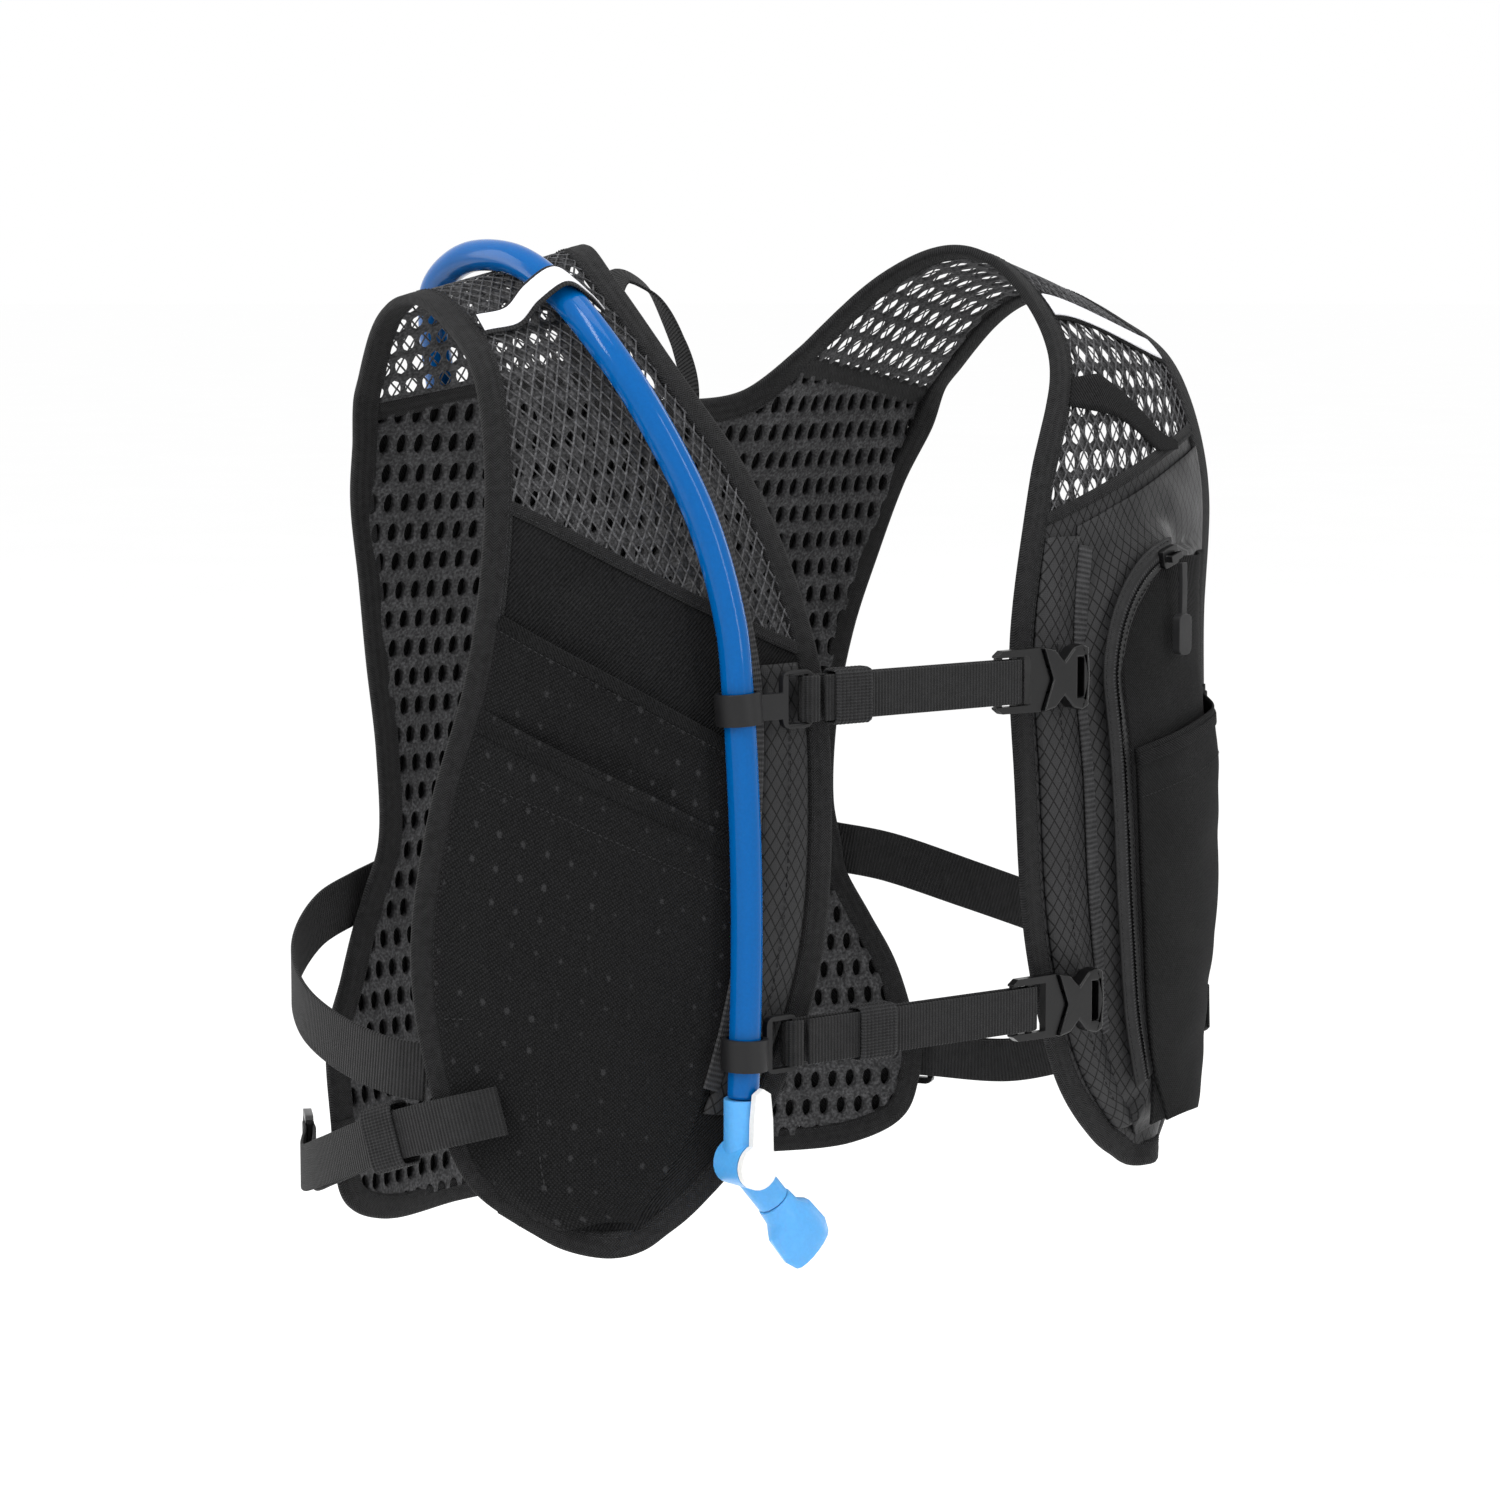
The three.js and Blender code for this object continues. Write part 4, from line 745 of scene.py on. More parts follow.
def placket(side):
    """Puffy folded cloth that runs down beside the neck edge."""
    def surface(f, v):
        row = mix(PLACKET_END[side], net_row(side, 0.1) - 0.12, v)
        inner, outer = 0.035 + 0.03 * ease((3 - row) / 2), 0.185 + 0.03 * ease((3 - row) / 2)
        u = mix(inner, outer, f)
        puff = 2.4 * np.sqrt(np.clip(np.sin(np.pi * np.clip(f, 0, 1)), 0, 1))
        crease = folds(strip(u, row, 0, side), (9, 9, 26), 0.9, 1.7)
        top = FABRIC + 0.5 + puff + crease * np.sin(np.pi * f)
        return strip(u, row, FABRIC - 0.3, side), strip(u, row, top, side)
    return surface


for side_name, side in SIDES:
    cloth(f"placket_cloth_{side_name}", placket(side), np.linspace(0, 1, 17), np.linspace(0, 1, 110),
          MAT["ripstop"], replaces=(f"placket_{side_name}",), slot="ripstop")
    rows = np.linspace(PLACKET_END[side] + 0.1, net_row(side, 0.1) - 0.2, 220)
    shift = 0.03 * ease((3 - rows) / 2)
    sewn(f"placket_stitch_{side_name}", side, 0.105 + shift, rows, 5.1, pitch=2.8, long=1.9,
         thick=0.42, slot="tape")
    rail_rows = np.linspace(2.2, 6.2 if side < 0 else 5.6, 160)
    tape_on(f"rail_ladder_{side_name}", side, np.full(160, 0.205), rail_rows, 3.6, 6.4, 1.5,
            MAT["rail"], replaces=(f"rail_tape_{side_name}",), slot="tape")


# ------------------------------------------------------------------ pockets on the right panel
POCKET_IN, POCKET_OUT = 0.22, 0.985


def hem_z(low, high):
    """Height of a slanted pocket edge, from its neck side to its arm side."""
    return lambda u: mix(low, high, u)


LOWER_HEM = hem_z(-215, -151)
UPPER_HEM = hem_z(-186, -120)


def pocket_lift(u, depth):
    """How far a right pocket stands out: flat at its sides and depth millimetres between them."""
    f = np.clip((u - POCKET_IN) / (POCKET_OUT - POCKET_IN), 0, 1)
    return depth * ease((f - 0.12) / 0.4) * ease((1 - f) / 0.22)


def folded_hem(names, side, surface, top, columns, width):
    """Folded top edge of a pocket: a doubled band, and a sewn line below it."""
    row = row_at(columns, top(columns))
    normal = unit(strip(columns, row, 1, side) - strip(columns, row, 0, side))
    band_path, line_path = [surface(columns[:, None], np.full((len(columns), 1), v))[1][:, 0]
                            for v in (0.975, 0.9)]
    sweep(names[0], band_path, np.cross(normal, tangents(band_path)), normal,
          tape_profile(width, 1.5), MAT["pocket"], slot="stretch_fabric")
    stitches(names[1], line_path, np.cross(normal, tangents(line_path)), normal, MAT["thread"],
             pitch=2.2, long=1.5, thick=0.4, slot="stretch_fabric")


def right_pocket(name, bottom, top, base, depth, node, seed, slack):
    """Loose pocket of thin mesh that sags in soft folds across the right panel."""
    def surface(u, v):
        low_row, high_row = bottom(u), row_at(u, top(u))
        row = mix(low_row, high_row, v)
        at = strip(u, row, 0, -1)
        fine = folds(at, (18, 18, 10), 1.0, seed)
        drape = folds(at @ np.array([[0.8, 0, 0.6], [0, 1, 0], [-0.6, 0, 0.8]]), (60, 40, 15), slack,
                      seed + 5)
        edge = ease((u - POCKET_IN) * 9) * ease((POCKET_OUT - u) * 9)
        lift = base + pocket_lift(u, depth) * (0.35 + 0.65 * ease(v * 1.6)) + (fine + drape) * edge
        lift = np.maximum(lift, base - 0.4)
        return strip(u, row, lift, -1), strip(u, row, lift + 0.9, -1)

    cloth(name, surface, np.linspace(POCKET_IN, POCKET_OUT, 64), np.linspace(0, 1, 72),
          MAT["see_through"], replaces=(node,), slot="stretch_fabric")
    folded_hem((name + "_hem", name + "_hem_stitch"), -1, surface, top,
               np.linspace(POCKET_IN + 0.005, 0.98, 60), 4.4)


right_pocket("pocket_cloth_right_lower", lambda u: np.full_like(u, 0.35), LOWER_HEM, 2.2, 5.2,
             "pocket_right_lower", 2.3, 2.6)
right_pocket("pocket_cloth_right_upper", lambda u: row_at(u, LOWER_HEM(u) - 9), UPPER_HEM, 1.75, 3.4,
             "pocket_right_upper", 6.9, 3.2)

# Square reinforcement low on the right panel, shown by its sewn outline.
for k, (u, row) in enumerate(((np.full(40, 0.74), np.linspace(1.0, 2.72, 40)),
                              (np.linspace(0.74, 0.98, 20), np.linspace(2.72, 2.66, 20)))):
    sewn(f"patch_stitch_{k}", -1, u, row, 3.1 + pocket_lift(u, 5.2) * 0.75, pitch=2.6,
         long=1.8, thick=0.5, slot="stretch_fabric")

# ------------------------------------------------------------------ zipped pocket on the left
ZIP_U, ZIP_R, ZIP_LIFT, ZIP_SWEEP = 0.28, 44.0, FABRIC + 8.2, 80
ZIP_PLAN = math.radians(14)
ZIP_ACROSS = np.array([math.cos(ZIP_PLAN), math.sin(ZIP_PLAN), 0])
ZIP_NORMAL = np.array([math.sin(ZIP_PLAN), -math.cos(ZIP_PLAN), 0])
ZIP_FOOT = strip(ZIP_U, row_at(ZIP_U, -155), ZIP_LIFT)
ZIP_CENTRE = ZIP_FOOT + ZIP_ACROSS * ZIP_R


def zip_arc(degrees):
    angle = np.radians(degrees)[:, None]
    return ZIP_CENTRE - ZIP_ACROSS * ZIP_R * np.cos(angle) + UP * ZIP_R * np.sin(angle)


zip_levels = np.array([-306, -280, -255, -230, -205, -180], float)
ZIP_PATH = curve_through(np.vstack([strip(ZIP_U, row_at(ZIP_U, zip_levels), ZIP_LIFT),
                                    zip_arc(np.linspace(0, ZIP_SWEEP + 3, 14))]), 260)


def zip_x(z):
    """How far across the zip is at height z."""
    return np.interp(z, ZIP_PATH[:, 2], ZIP_PATH[:, 0])


def u_at(x, row):
    """Share of the way across a strip where it reaches x."""
    low, high = np.zeros(x.shape), np.ones(x.shape)
    for _ in range(22):
        middle = (low + high) / 2
        below = strip_base(middle, row)[..., 0] < x
        low, high = np.where(below, middle, low), np.where(below, high, middle)
    return (low + high) / 2


def raised(points):
    """Height of the left pocket: flat outside its zip, full inside it."""
    flat = points.reshape(-1, 3)
    away = np.min(np.linalg.norm(flat[:, None, [0, 2]] - ZIP_PATH[None, ::6][..., [0, 2]], axis=2), 1)
    inside = (flat[:, 0] > zip_x(flat[:, 2])) & (flat[:, 2] < ZIP_PATH[-1, 2])
    return np.where(inside, 1, ease(1 - away / 15)).reshape(points.shape[:-1])


def left_shell(u, v):
    """Wall of the zipped pocket, out to the zip and under it."""
    row = mix(0.5, net_row(1, u) - 0.1, v)
    at = strip(u, row, 0)
    crease = folds(at, (20, 20, 13), 1.3, 4.4) * ease((u - 0.2) * 9) * ease((0.98 - u) * 8)
    lift = (2.0 + 6.6 * raised(at) * ease((0.99 - u) * 3.2) * ease(v * 6)
            + crease * ease((v - 0.6) * 4))
    return strip(u, row, lift), strip(u, row, lift + 0.7)


cloth("left_pocket_wall", left_shell, np.linspace(0.17, 0.985, 64), np.linspace(0, 1, 120),
      MAT["ripstop"], slot="ripstop")


LEFT_FOOT_Z = -322


def left_front(f, v):
    """Cloth inside the zip."""
    z = mix(LEFT_FOOT_Z, ZIP_PATH[-1, 2] - 1.5, v)
    row = row_at(0.5, z)
    start = u_at(zip_x(z) + 3.5, row)
    u = mix(start, 0.982, f)
    at = strip(u, row, 0)
    crease = folds(at, (24, 24, 14), 0.9, 12.2) * np.sin(np.pi * f)
    lift = (ZIP_LIFT - 0.6 + 2.2 * np.sin(np.pi * f) + crease) * ease((0.99 - u) * 3.2 + 0.1)
    lift = np.maximum(lift, 2.9)
    return strip(u, row, lift), strip(u, row, lift + 0.9)


cloth("left_pocket_front", left_front, np.linspace(0, 1, 50), np.linspace(0, 1, 90), MAT["pocket"],
      replaces=("phone_pocket_left",), slot="stretch_fabric")

STRETCH_U = 0.335
LEFT_HEM = hem_z(-190, -164)


def left_stretch(u, v):
    """Stretch pocket over the zipped one."""
    row = mix(0.8, row_at(u, LEFT_HEM(u)), v)
    f = np.clip((u - STRETCH_U) / (POCKET_OUT - STRETCH_U), 0, 1)
    at = strip(u, row, 0)
    crease = folds(at, (22, 22, 14), 0.8, 20.2) * np.sin(np.pi * f)
    lift = ((ZIP_LIFT + 0.9 + 2.2 * np.sin(np.pi * f) + 2.6 * np.sin(np.pi * f) * ease(v * 1.5)
             + crease) * ease((0.99 - u) * 3.2 + 0.16))
    lift = np.maximum(lift, 4.2)
    return strip(u, row, lift), strip(u, row, lift + 0.9)


cloth("pocket_cloth_left", left_stretch, np.linspace(STRETCH_U, POCKET_OUT, 50),
      np.linspace(0, 1, 70), MAT["pocket"], replaces=("pocket_left_stretch",), slot="stretch_fabric")
folded_hem(("pocket_hem_left", "pocket_hem_stitch_left"), 1, left_stretch, LEFT_HEM,
           np.linspace(STRETCH_U, 0.98, 60), 4.6)

ZIP_PROFILE = [(-6.0, 0.5), (-2.3, 0.7), (-1.9, 1.3), (1.9, 1.3), (2.3, 0.7), (6.0, 0.5),
               (6.0, -0.5), (-6.0, -0.5)]


def zip_track(name, path, normal, replaces):
    """Woven zip tape, its coil of teeth and the sewn lines beside them."""
    across = np.cross(normal, tangents(path))
    sweep(name, path, across, normal, ZIP_PROFILE, MAT["zip"], replaces=(replaces,), slot="zip_tape")
    stitches(name + "_coil", path + normal * 1.35, tangents(path), normal, MAT["gloss"], pitch=1.5,
             long=0.9, thick=1.6, slot="zip_tape")
    for k, offset in enumerate((-5.0, 5.0)):
        stitches(f"{name}_stitch_{k}", path + across * offset + normal * 0.6, across, normal,
                 MAT["thread"], pitch=2.4, long=1.7, thick=0.4, slot="zip_tape")


zip_out = np.broadcast_to(ZIP_NORMAL, ZIP_PATH.shape)
zip_track("zip_track_front", ZIP_PATH, zip_out, "front_zip_track")

# ------------------------------------------------------------------ back panel
BACK_ROWS = np.array([
    # height, half width, depth at the edge, depth in the middle
    (-90, 125, 66, 60), (-120, 117, 73.5, 73), (-150, 110, 80, 83), (-185, 104, 83, 92),
    (-220, 103, 84, 97), (-250, 112, 87, 97), (-290, 131, 77, 97), (-325, 136, 66, 97),
    (-345, 130, 69, 97), (-355, 112, 76, 96)], float)[::-1]
BACK_FOOT_Z, SHOULDER_Z = -355, -90
FLAT_HALF = 34.0
BACK_MESH = 4.0
TOP_EDGE = np.array([(0, 45.5, -61), (34, 45.5, -61), (50, 34.5, -45), (132, 55.5, -60)], float)


def back_half(z):
    return np.interp(z, BACK_ROWS[:, 0], BACK_ROWS[:, 1])


def back_depth(x, z):
    """Depth of the back panel's inner face."""
    z0 = np.clip(z, BACK_FOOT_Z, SHOULDER_Z)
    side = np.clip((np.abs(x) - FLAT_HALF) / (back_half(z0) - FLAT_HALF), 0, 1)
    middle = np.interp(z0, BACK_ROWS[:, 0], BACK_ROWS[:, 3])
    edge = np.interp(z0, BACK_ROWS[:, 0], BACK_ROWS[:, 2])
    depth = mix(middle, edge, side ** 1.5)
    top_y = np.interp(np.abs(x), TOP_EDGE[:, 0], TOP_EDGE[:, 1])
    top_z = np.interp(np.abs(x), TOP_EDGE[:, 0], TOP_EDGE[:, 2])
    share = np.clip((z - SHOULDER_Z) / (top_z - SHOULDER_Z), 0, 1)
    return mix(depth, top_y, share)


def back_width(z):
    wide = np.interp(z, [SHOULDER_Z, -60], [125, 132])
    return np.where(z > SHOULDER_Z, wide, back_half(z))


def back_point(x, z, lift):
    z = np.minimum(z, np.interp(np.abs(x), TOP_EDGE[:, 0], TOP_EDGE[:, 2]))
    half = back_width(z)
    x = np.clip(x, -half, half)
    return np.stack([x, back_depth(x, z) + lift, z], -1)


def back_mesh(a, b, h):
    return back_point(a, b, BACK_MESH - h)


BACK_TOP_Z = -44
lattice("back_mesh", back_mesh, (-136, 136), (BACK_FOOT_Z, BACK_TOP_Z), (6.9, 11), (4.5, 7.3),
        BACK_MESH - 0.6, MAT["air_mesh"], replaces=("back_panel_mesh",), slot="air_mesh")


def back_lining(x, v):
    """Plain cloth behind the perforated mesh, over the part that the compartment covers."""
    z = mix(-352, BACK_TOP_Z, v)
    half = back_width(z) - 1
    at = back_point(x * half, z, BACK_MESH + 0.3)
    return at, at + (0, 0.5, 0)


cloth("back_lining", back_lining, np.linspace(-1, 1, 40), np.linspace(0, 1, 50), MAT["stretch"],
      slot="stretch_fabric")


def foam(x, v):
    """Thin foam sheet on the flat of the back, rounded off towards its edges."""
    z = mix(-318, -98, v)
    half = 58 - 6 * np.cos(np.pi * v)
    crown = 3.2 * np.sqrt(np.clip(1 - x ** 8, 0, 1)) * np.sqrt(np.clip(1 - (2 * v - 1) ** 10, 0, 1))
    low = back_point(x * half, z, BACK_MESH + 1.2)
    return low, low + np.stack([0 * x, 0.3 + crown * 0.75, 0 * x], -1)


sheet("foam_pad", foam, np.linspace(-1, 1, 30), np.linspace(0, 1, 40), MAT["foam"],
                replaces=("back_foam_sheet",), slot="foam")

# Seam tapes where the shoulder meshes meet the back panel.
for side_name, side in SIDES:
    seam_u = np.linspace(0.01, 0.99, 40)
    seam = strip(seam_u, np.full(40, LAST - 0.05), 1.6, side) + (0, 1.2, -2.0)
    seam_out = unit(strip(seam_u, LAST - 0.05, 5, side) - strip(seam_u, LAST - 0.05, 0, side))
    sweep(f"shoulder_seam_{side_name}", seam, np.cross(seam_out, tangents(seam)), seam_out,
          tape_profile(10, 3.4), MAT["binding"], slot="tape")

# ------------------------------------------------------------------ edge bindings
EDGE_LIFT = 0.9
BINDING_PROFILE = [(-4.8, 0.9), (-4.6, 1.5), (-3.5, 1.75), (0, 1.9), (3.6, 1.8), (4.6, 1.2),
                   (4.9, 0), (4.6, -1.2), (3.6, -1.8), (0, -1.9), (-3.5, -1.75), (-4.6, -1.5),
                   (-4.8, -0.9)]


def edge_stops(u, rows, side):
    """Points along a strip's edge with the directions out of the cloth and off it."""
    rows = np.asarray(rows, float)
    at = strip(u, rows, EDGE_LIFT, side)
    inner = strip(0.5, np.maximum(rows, 0.9), EDGE_LIFT, side)
    off = unit(strip(u, rows, EDGE_LIFT + 2, side) - at)
    return at, unit(at - inner), off


def binding(name, at, out, off, replaces, count):
    """Folded tape along an edge, with two sewn lines on each face."""
    path = at + out * 1.2
    length = run_length(path)
    path = curve_through(path, count)
    where = np.linspace(0, length[-1], count)
    along = tangents(path)
    across = unit(sample(out, length, where))
    across = unit(across - along * np.sum(across * along, -1, keepdims=True))
    normal = unit(np.cross(across, along))
    facing = np.sign(np.sum(normal * unit(sample(off, length, where)), -1, keepdims=True))
    normal = normal * np.where(facing == 0, 1, facing)
    sweep(name, path, across, normal, BINDING_PROFILE, MAT["binding"], replaces=(replaces,),
          slot="tape")
    for k, offset in enumerate((-3.9, -2.9)):
        for face in (1, -1):
            stitches(f"{name}_stitch_{k}_{'out' if face > 0 else 'in'}",
                     path + across * offset + normal * 1.75 * face, across, normal, MAT["thread"],
                     pitch=2.6, long=1.8, thick=0.4, slot="tape")


def joined(*parts):
    return [np.vstack(values) for values in zip(*parts)]


NECK_ROWS = np.concatenate([[0.15, 0.45, 0.8], np.linspace(1.2, LAST - 0.12, 44)])
neck_back = np.array([(33, 43.5, -57.5), (0, 46.5, -61.0)])
neck_mid = (neck_back, np.tile((0, -0.25, 0.97), (2, 1)), np.tile((0, 0.97, 0.25), (2, 1)))


def foot(side):
    """Stops round the bottom of a front panel, from its arm edge to its neck edge."""
    arm = edge_stops(1.0, [0.8, 0.45, 0.15], side)
    neck = edge_stops(0.0, [0.1], side)
    middle = strip(0.5, 0.0, EDGE_LIFT, side)[None] - (0, 0, 1.0)
    off = unit(strip(0.5, 0.0, 3, side) - strip(0.5, 0.0, 0, side))[None]
    return joined(arm, (middle, np.array([[0, 0, -1.0]]), off), neck)


def turned(part):
    return [values[::-1] for values in part]


def neck_side(side):
    return joined(foot(side), edge_stops(0.0, NECK_ROWS[1:], side))


def flip_x(part):
    return [values * (-1, 1, 1) for values in part]


binding("binding_neck", *joined(neck_side(1), neck_mid, turned(flip_x([v[:1] for v in neck_mid])),
                                turned(neck_side(-1))), "neck_binding", 760)
back_levels = np.array([-90, -120, -150, -185, -220, -238, -250, -270, -290, -324], float)
for side_name, side in SIDES:
    arm_front = edge_stops(1.0, np.concatenate([[0.55], np.linspace(1.0, LAST - 0.15, 44)]), side)
    corner = (np.array([[130.5, 57.5, -68]]), np.array([[1, -0.15, 0]]), np.array([[0.1, 1, 0]]))
    half = back_half(back_levels)
    behind = (np.stack([half, back_depth(half, back_levels) + BACK_MESH / 2, back_levels], 1),
              np.tile((1, -0.15, 0), (len(half), 1)), np.tile((0.15, 1, 0), (len(half), 1)))
    rest = joined(corner, behind)
    binding(f"binding_arm_{side_name}", *joined(arm_front, rest if side > 0 else flip_x(rest)),
            f"arm_binding_{side_name}", 560)

hem_at = np.array([(136, 68.5, -318), (134.5, 69, -334), (130, 71, -346), (112, 78, -354), (70, 93, -355.5),
                   (34, 99, -356)], float)
hem_way = np.array([(1, -0.1, 0), (0.97, -0.1, -0.2), (0.75, -0.1, -0.65), (0.2, 0, -0.98),
                    (0, 0, -1), (0, 0, -1)], float)
hem_face = np.array([(0.3, 0.95, 0)] * 3 + [(0.1, 1, 0)] * 3, float)
hem_half = (hem_at, hem_way, hem_face)
binding("binding_hem", *joined(hem_half, turned(flip_x(hem_half))), "hem_binding", 300)

# ------------------------------------------------------------------ rear compartment
BAG_ROWS = np.array([
    # height, radius of the round back, depth of its centre
    (-76, 190, -112), (-84, 132, -24), (-95, 102, 26), (-125, 102, 26), (-150, 101, 40),
    (-170, 100, 48), (-250, 103, 52), (-310, 108, 45), (-338, 126, 11), (-346, 150, -30)],
    float)[::-1]
BAG_FRONT = 9.0
BAG_FOOT_Z, BAG_TOP_Z = -346, -76


def bag_circle(z):
    r = np.interp(z, BAG_ROWS[:, 0], BAG_ROWS[:, 1])
    y = np.interp(z, BAG_ROWS[:, 0], BAG_ROWS[:, 2])
    half = np.full(np.shape(z), 90.0)
    for _ in range(12):
        reach = back_depth(half, z) + BAG_FRONT - y
        half = np.sqrt(np.maximum(r * r - reach * reach, 1))
    return half, r, y


def bag_back(f, z, extra=0.0, reach=1.0):
    """Point on the round back: f from -1 to 1 across it, extra millimetres out."""
    half, r, y = bag_circle(z)
    angle = f * np.arcsin(np.clip(half / r, 0, 1)) * reach
    return np.stack([(r + extra) * np.sin(angle), y + (r + extra) * np.cos(angle),
                     np.broadcast_to(z, np.shape(angle))], -1)


BAG_LEVELS = np.concatenate([np.linspace(BAG_FOOT_Z, -336, 7), np.linspace(-332, -96, 72),
                             np.linspace(-93, BAG_TOP_Z, 10)])


def bag_shell():
    """Lofted cloth shell: front wall on the back panel and a round, creased back."""
    across = np.linspace(-1, 1, 73)
    f, z = np.meshgrid(across, BAG_LEVELS, indexing="ij")
    outer = bag_back(f, z)
    crease = folds(outer, (28, 28, 17), 1.5, 30.5) + folds(outer, (9, 9, 7), 0.35, 11.1)
    edge = ease((1 - np.abs(f)) * 5) * ease((z - BAG_FOOT_Z) / 16) * ease((BAG_TOP_Z - z) / 12)
    outer = bag_back(f, z, (crease - 0.8) * edge)
    wall_y = back_depth(outer[..., 0], z) + BAG_FRONT
    outer[..., 1] = np.maximum(outer[..., 1], wall_y + 0.2)
    half = bag_circle(BAG_LEVELS)[0]
    front_x = np.linspace(1, -1, 25)[1:-1, None] * half[None]
    front = np.stack([front_x, back_depth(front_x, BAG_LEVELS[None]) + BAG_FRONT,
                      np.broadcast_to(BAG_LEVELS, front_x.shape)], -1)
    ring = np.vstack([outer, front])
    points = ring.reshape(-1, 3)
    build("rear_bag_cloth", points, outward(points, ring_faces(*ring.shape[:2])), MAT["ripstop"],
          uv=cloth_uv(ring), replaces=("rear_bag_shell",), slot="ripstop")


bag_shell()


def bag_seam(name, f, z, width, thick):
    """Seam tape on the compartment's round back."""
    path = bag_back(f, z, 0.6)
    normal = unit(bag_back(f, z, 1.6) - path)
    sweep(name, path, np.cross(normal, tangents(path)), normal, tape_profile(width, thick),
          MAT["binding"], slot="tape")


for side_name, side in SIDES:
    bag_seam(f"bag_seam_{side_name}", np.full(120, 0.985 * side), np.linspace(-336, -92, 120), 5.0, 2.2)
bag_seam("bag_seam_top", np.linspace(-0.97, 0.97, 90), np.full(90, -90.0), 4.0, 1.6)


def stash(f, v):
    """Open stretch pocket low on the back; its mouth stands a little away from the bag."""
    top = -188 + 8 * f * f
    z = mix(-334, top, v)
    full = 1.2 + 10 * (1 - f ** 4) * np.sin(np.pi * (0.02 + 0.48 * v))
    at = bag_back(f, z, 0, 0.9)
    crease = folds(at, (20, 20, 26), 1.4, 50.3) * ease((1 - np.abs(f)) * 6) * ease(v * 4)
    gap = np.maximum(full + crease * 0.7, 1.0)
    return bag_back(f, z, gap, 0.9), bag_back(f, z, gap + 1.0, 0.9)


cloth("stash_cloth", stash, np.linspace(-1, 1, 60), np.linspace(0, 1, 60), MAT["pocket"],
      replaces=("rear_stash_pocket",), slot="stretch_fabric")
stash_f = np.linspace(-0.99, 0.99, 120)
stash_low, stash_high = stash(stash_f[:, None], np.full((120, 1), 0.97))
stash_path = (stash_low[:, 0] + stash_high[:, 0]) / 2
stash_out = unit(stash_high[:, 0] - stash_low[:, 0])
sweep("stash_edge_elastic", stash_path, np.cross(stash_out, tangents(stash_path)), stash_out,
      tape_profile(11, 2.3), MAT["elastic"], slot="elastic")

REAR_Z, REAR_SWEEP = -112.0, 50
REAR_Y, REAR_R = 26.0, 102.0
rear_angle = np.radians(np.linspace(-REAR_SWEEP - 2, REAR_SWEEP + 2, 240))
rear_out = np.stack([np.sin(rear_angle), np.cos(rear_angle), 0 * rear_angle], 1)
rear_path = rear_out * (REAR_R + 1.2) + (0, REAR_Y, REAR_Z)
zip_track("zip_track_rear", rear_path, rear_out, "rear_zip_track")

# ------------------------------------------------------------------ haul loop, tab and label
LOOP = [(13, 50, -66), (14, 47, -54), (14, 55, -34), (9, 66, -15), (0, 71, -9), (-9, 66, -15),
        (-14, 55, -34), (-14, 47, -54), (-13, 50, -66)]
loop_points = np.array(LOOP, float) + (0, 7.7, 0)
ribbon("haul_strap", loop_points, (0, 0.85, 0.5), 10, 1.3, MAT["webbing"], 140,
       replaces=("haul_loop",), slot="webbing")

TAB_ROW = 7.75
tab_stops = np.array([(0.93, 0.05, 4.0), (0.72, 0, 4.4), (0.6, -0.02, 12.0), (0.45, -0.05, 18.2),
                      (0.3, -0.07, 12.0), (0.17, -0.08, 4.0)])
tab_points = strip(tab_stops[:, 0], TAB_ROW + tab_stops[:, 1], tab_stops[:, 2], -1)
ribbon("hose_tab_band", tab_points, (0.1, -0.8, -0.5), 11.6, 0.9, MAT["elastic"], 90,
       replaces=("hose_loop_tab",), slot="elastic")
tab_path = curve_through(tab_points, 60)
tab_along = tangents(tab_path)
tab_across = unit(np.cross(tab_along, np.cross((0.1, -0.8, -0.5), tab_along)))
tab_out = np.cross(tab_along, tab_across)
tab_out *= np.sign(np.sum(tab_out * (0, -0.2, 1), -1, keepdims=True))
sweep("hose_tab_label", tab_path + tab_out * 0.75, tab_across, tab_out, tape_profile(8.6, 0.5),
      MAT["label"], slot="white_label")


def shoulder_label(u, v):
    row = 7.5 - 0.42 * ease((u - 0.1) * 1.1) + v * 0.27
    return strip(u, row, 2.7), strip(u, row, 3.2)


cloth("label_strip_left", shoulder_label, np.linspace(0.05, 0.93, 30), np.linspace(0, 1, 5),
      MAT["label"], replaces=("shoulder_label_left",), slot="white_label")


def label_edge(u, v):
    row = 7.5 - 0.42 * ease((u - 0.1) * 1.1) - 0.05 + v * 0.37
    return strip(u, row, 2.3), strip(u, row, 2.65)


cloth("label_backing_left", label_edge, np.linspace(0.03, 0.95, 30), np.linspace(0, 1, 5),
      MAT["stretch"], slot="stretch_fabric")

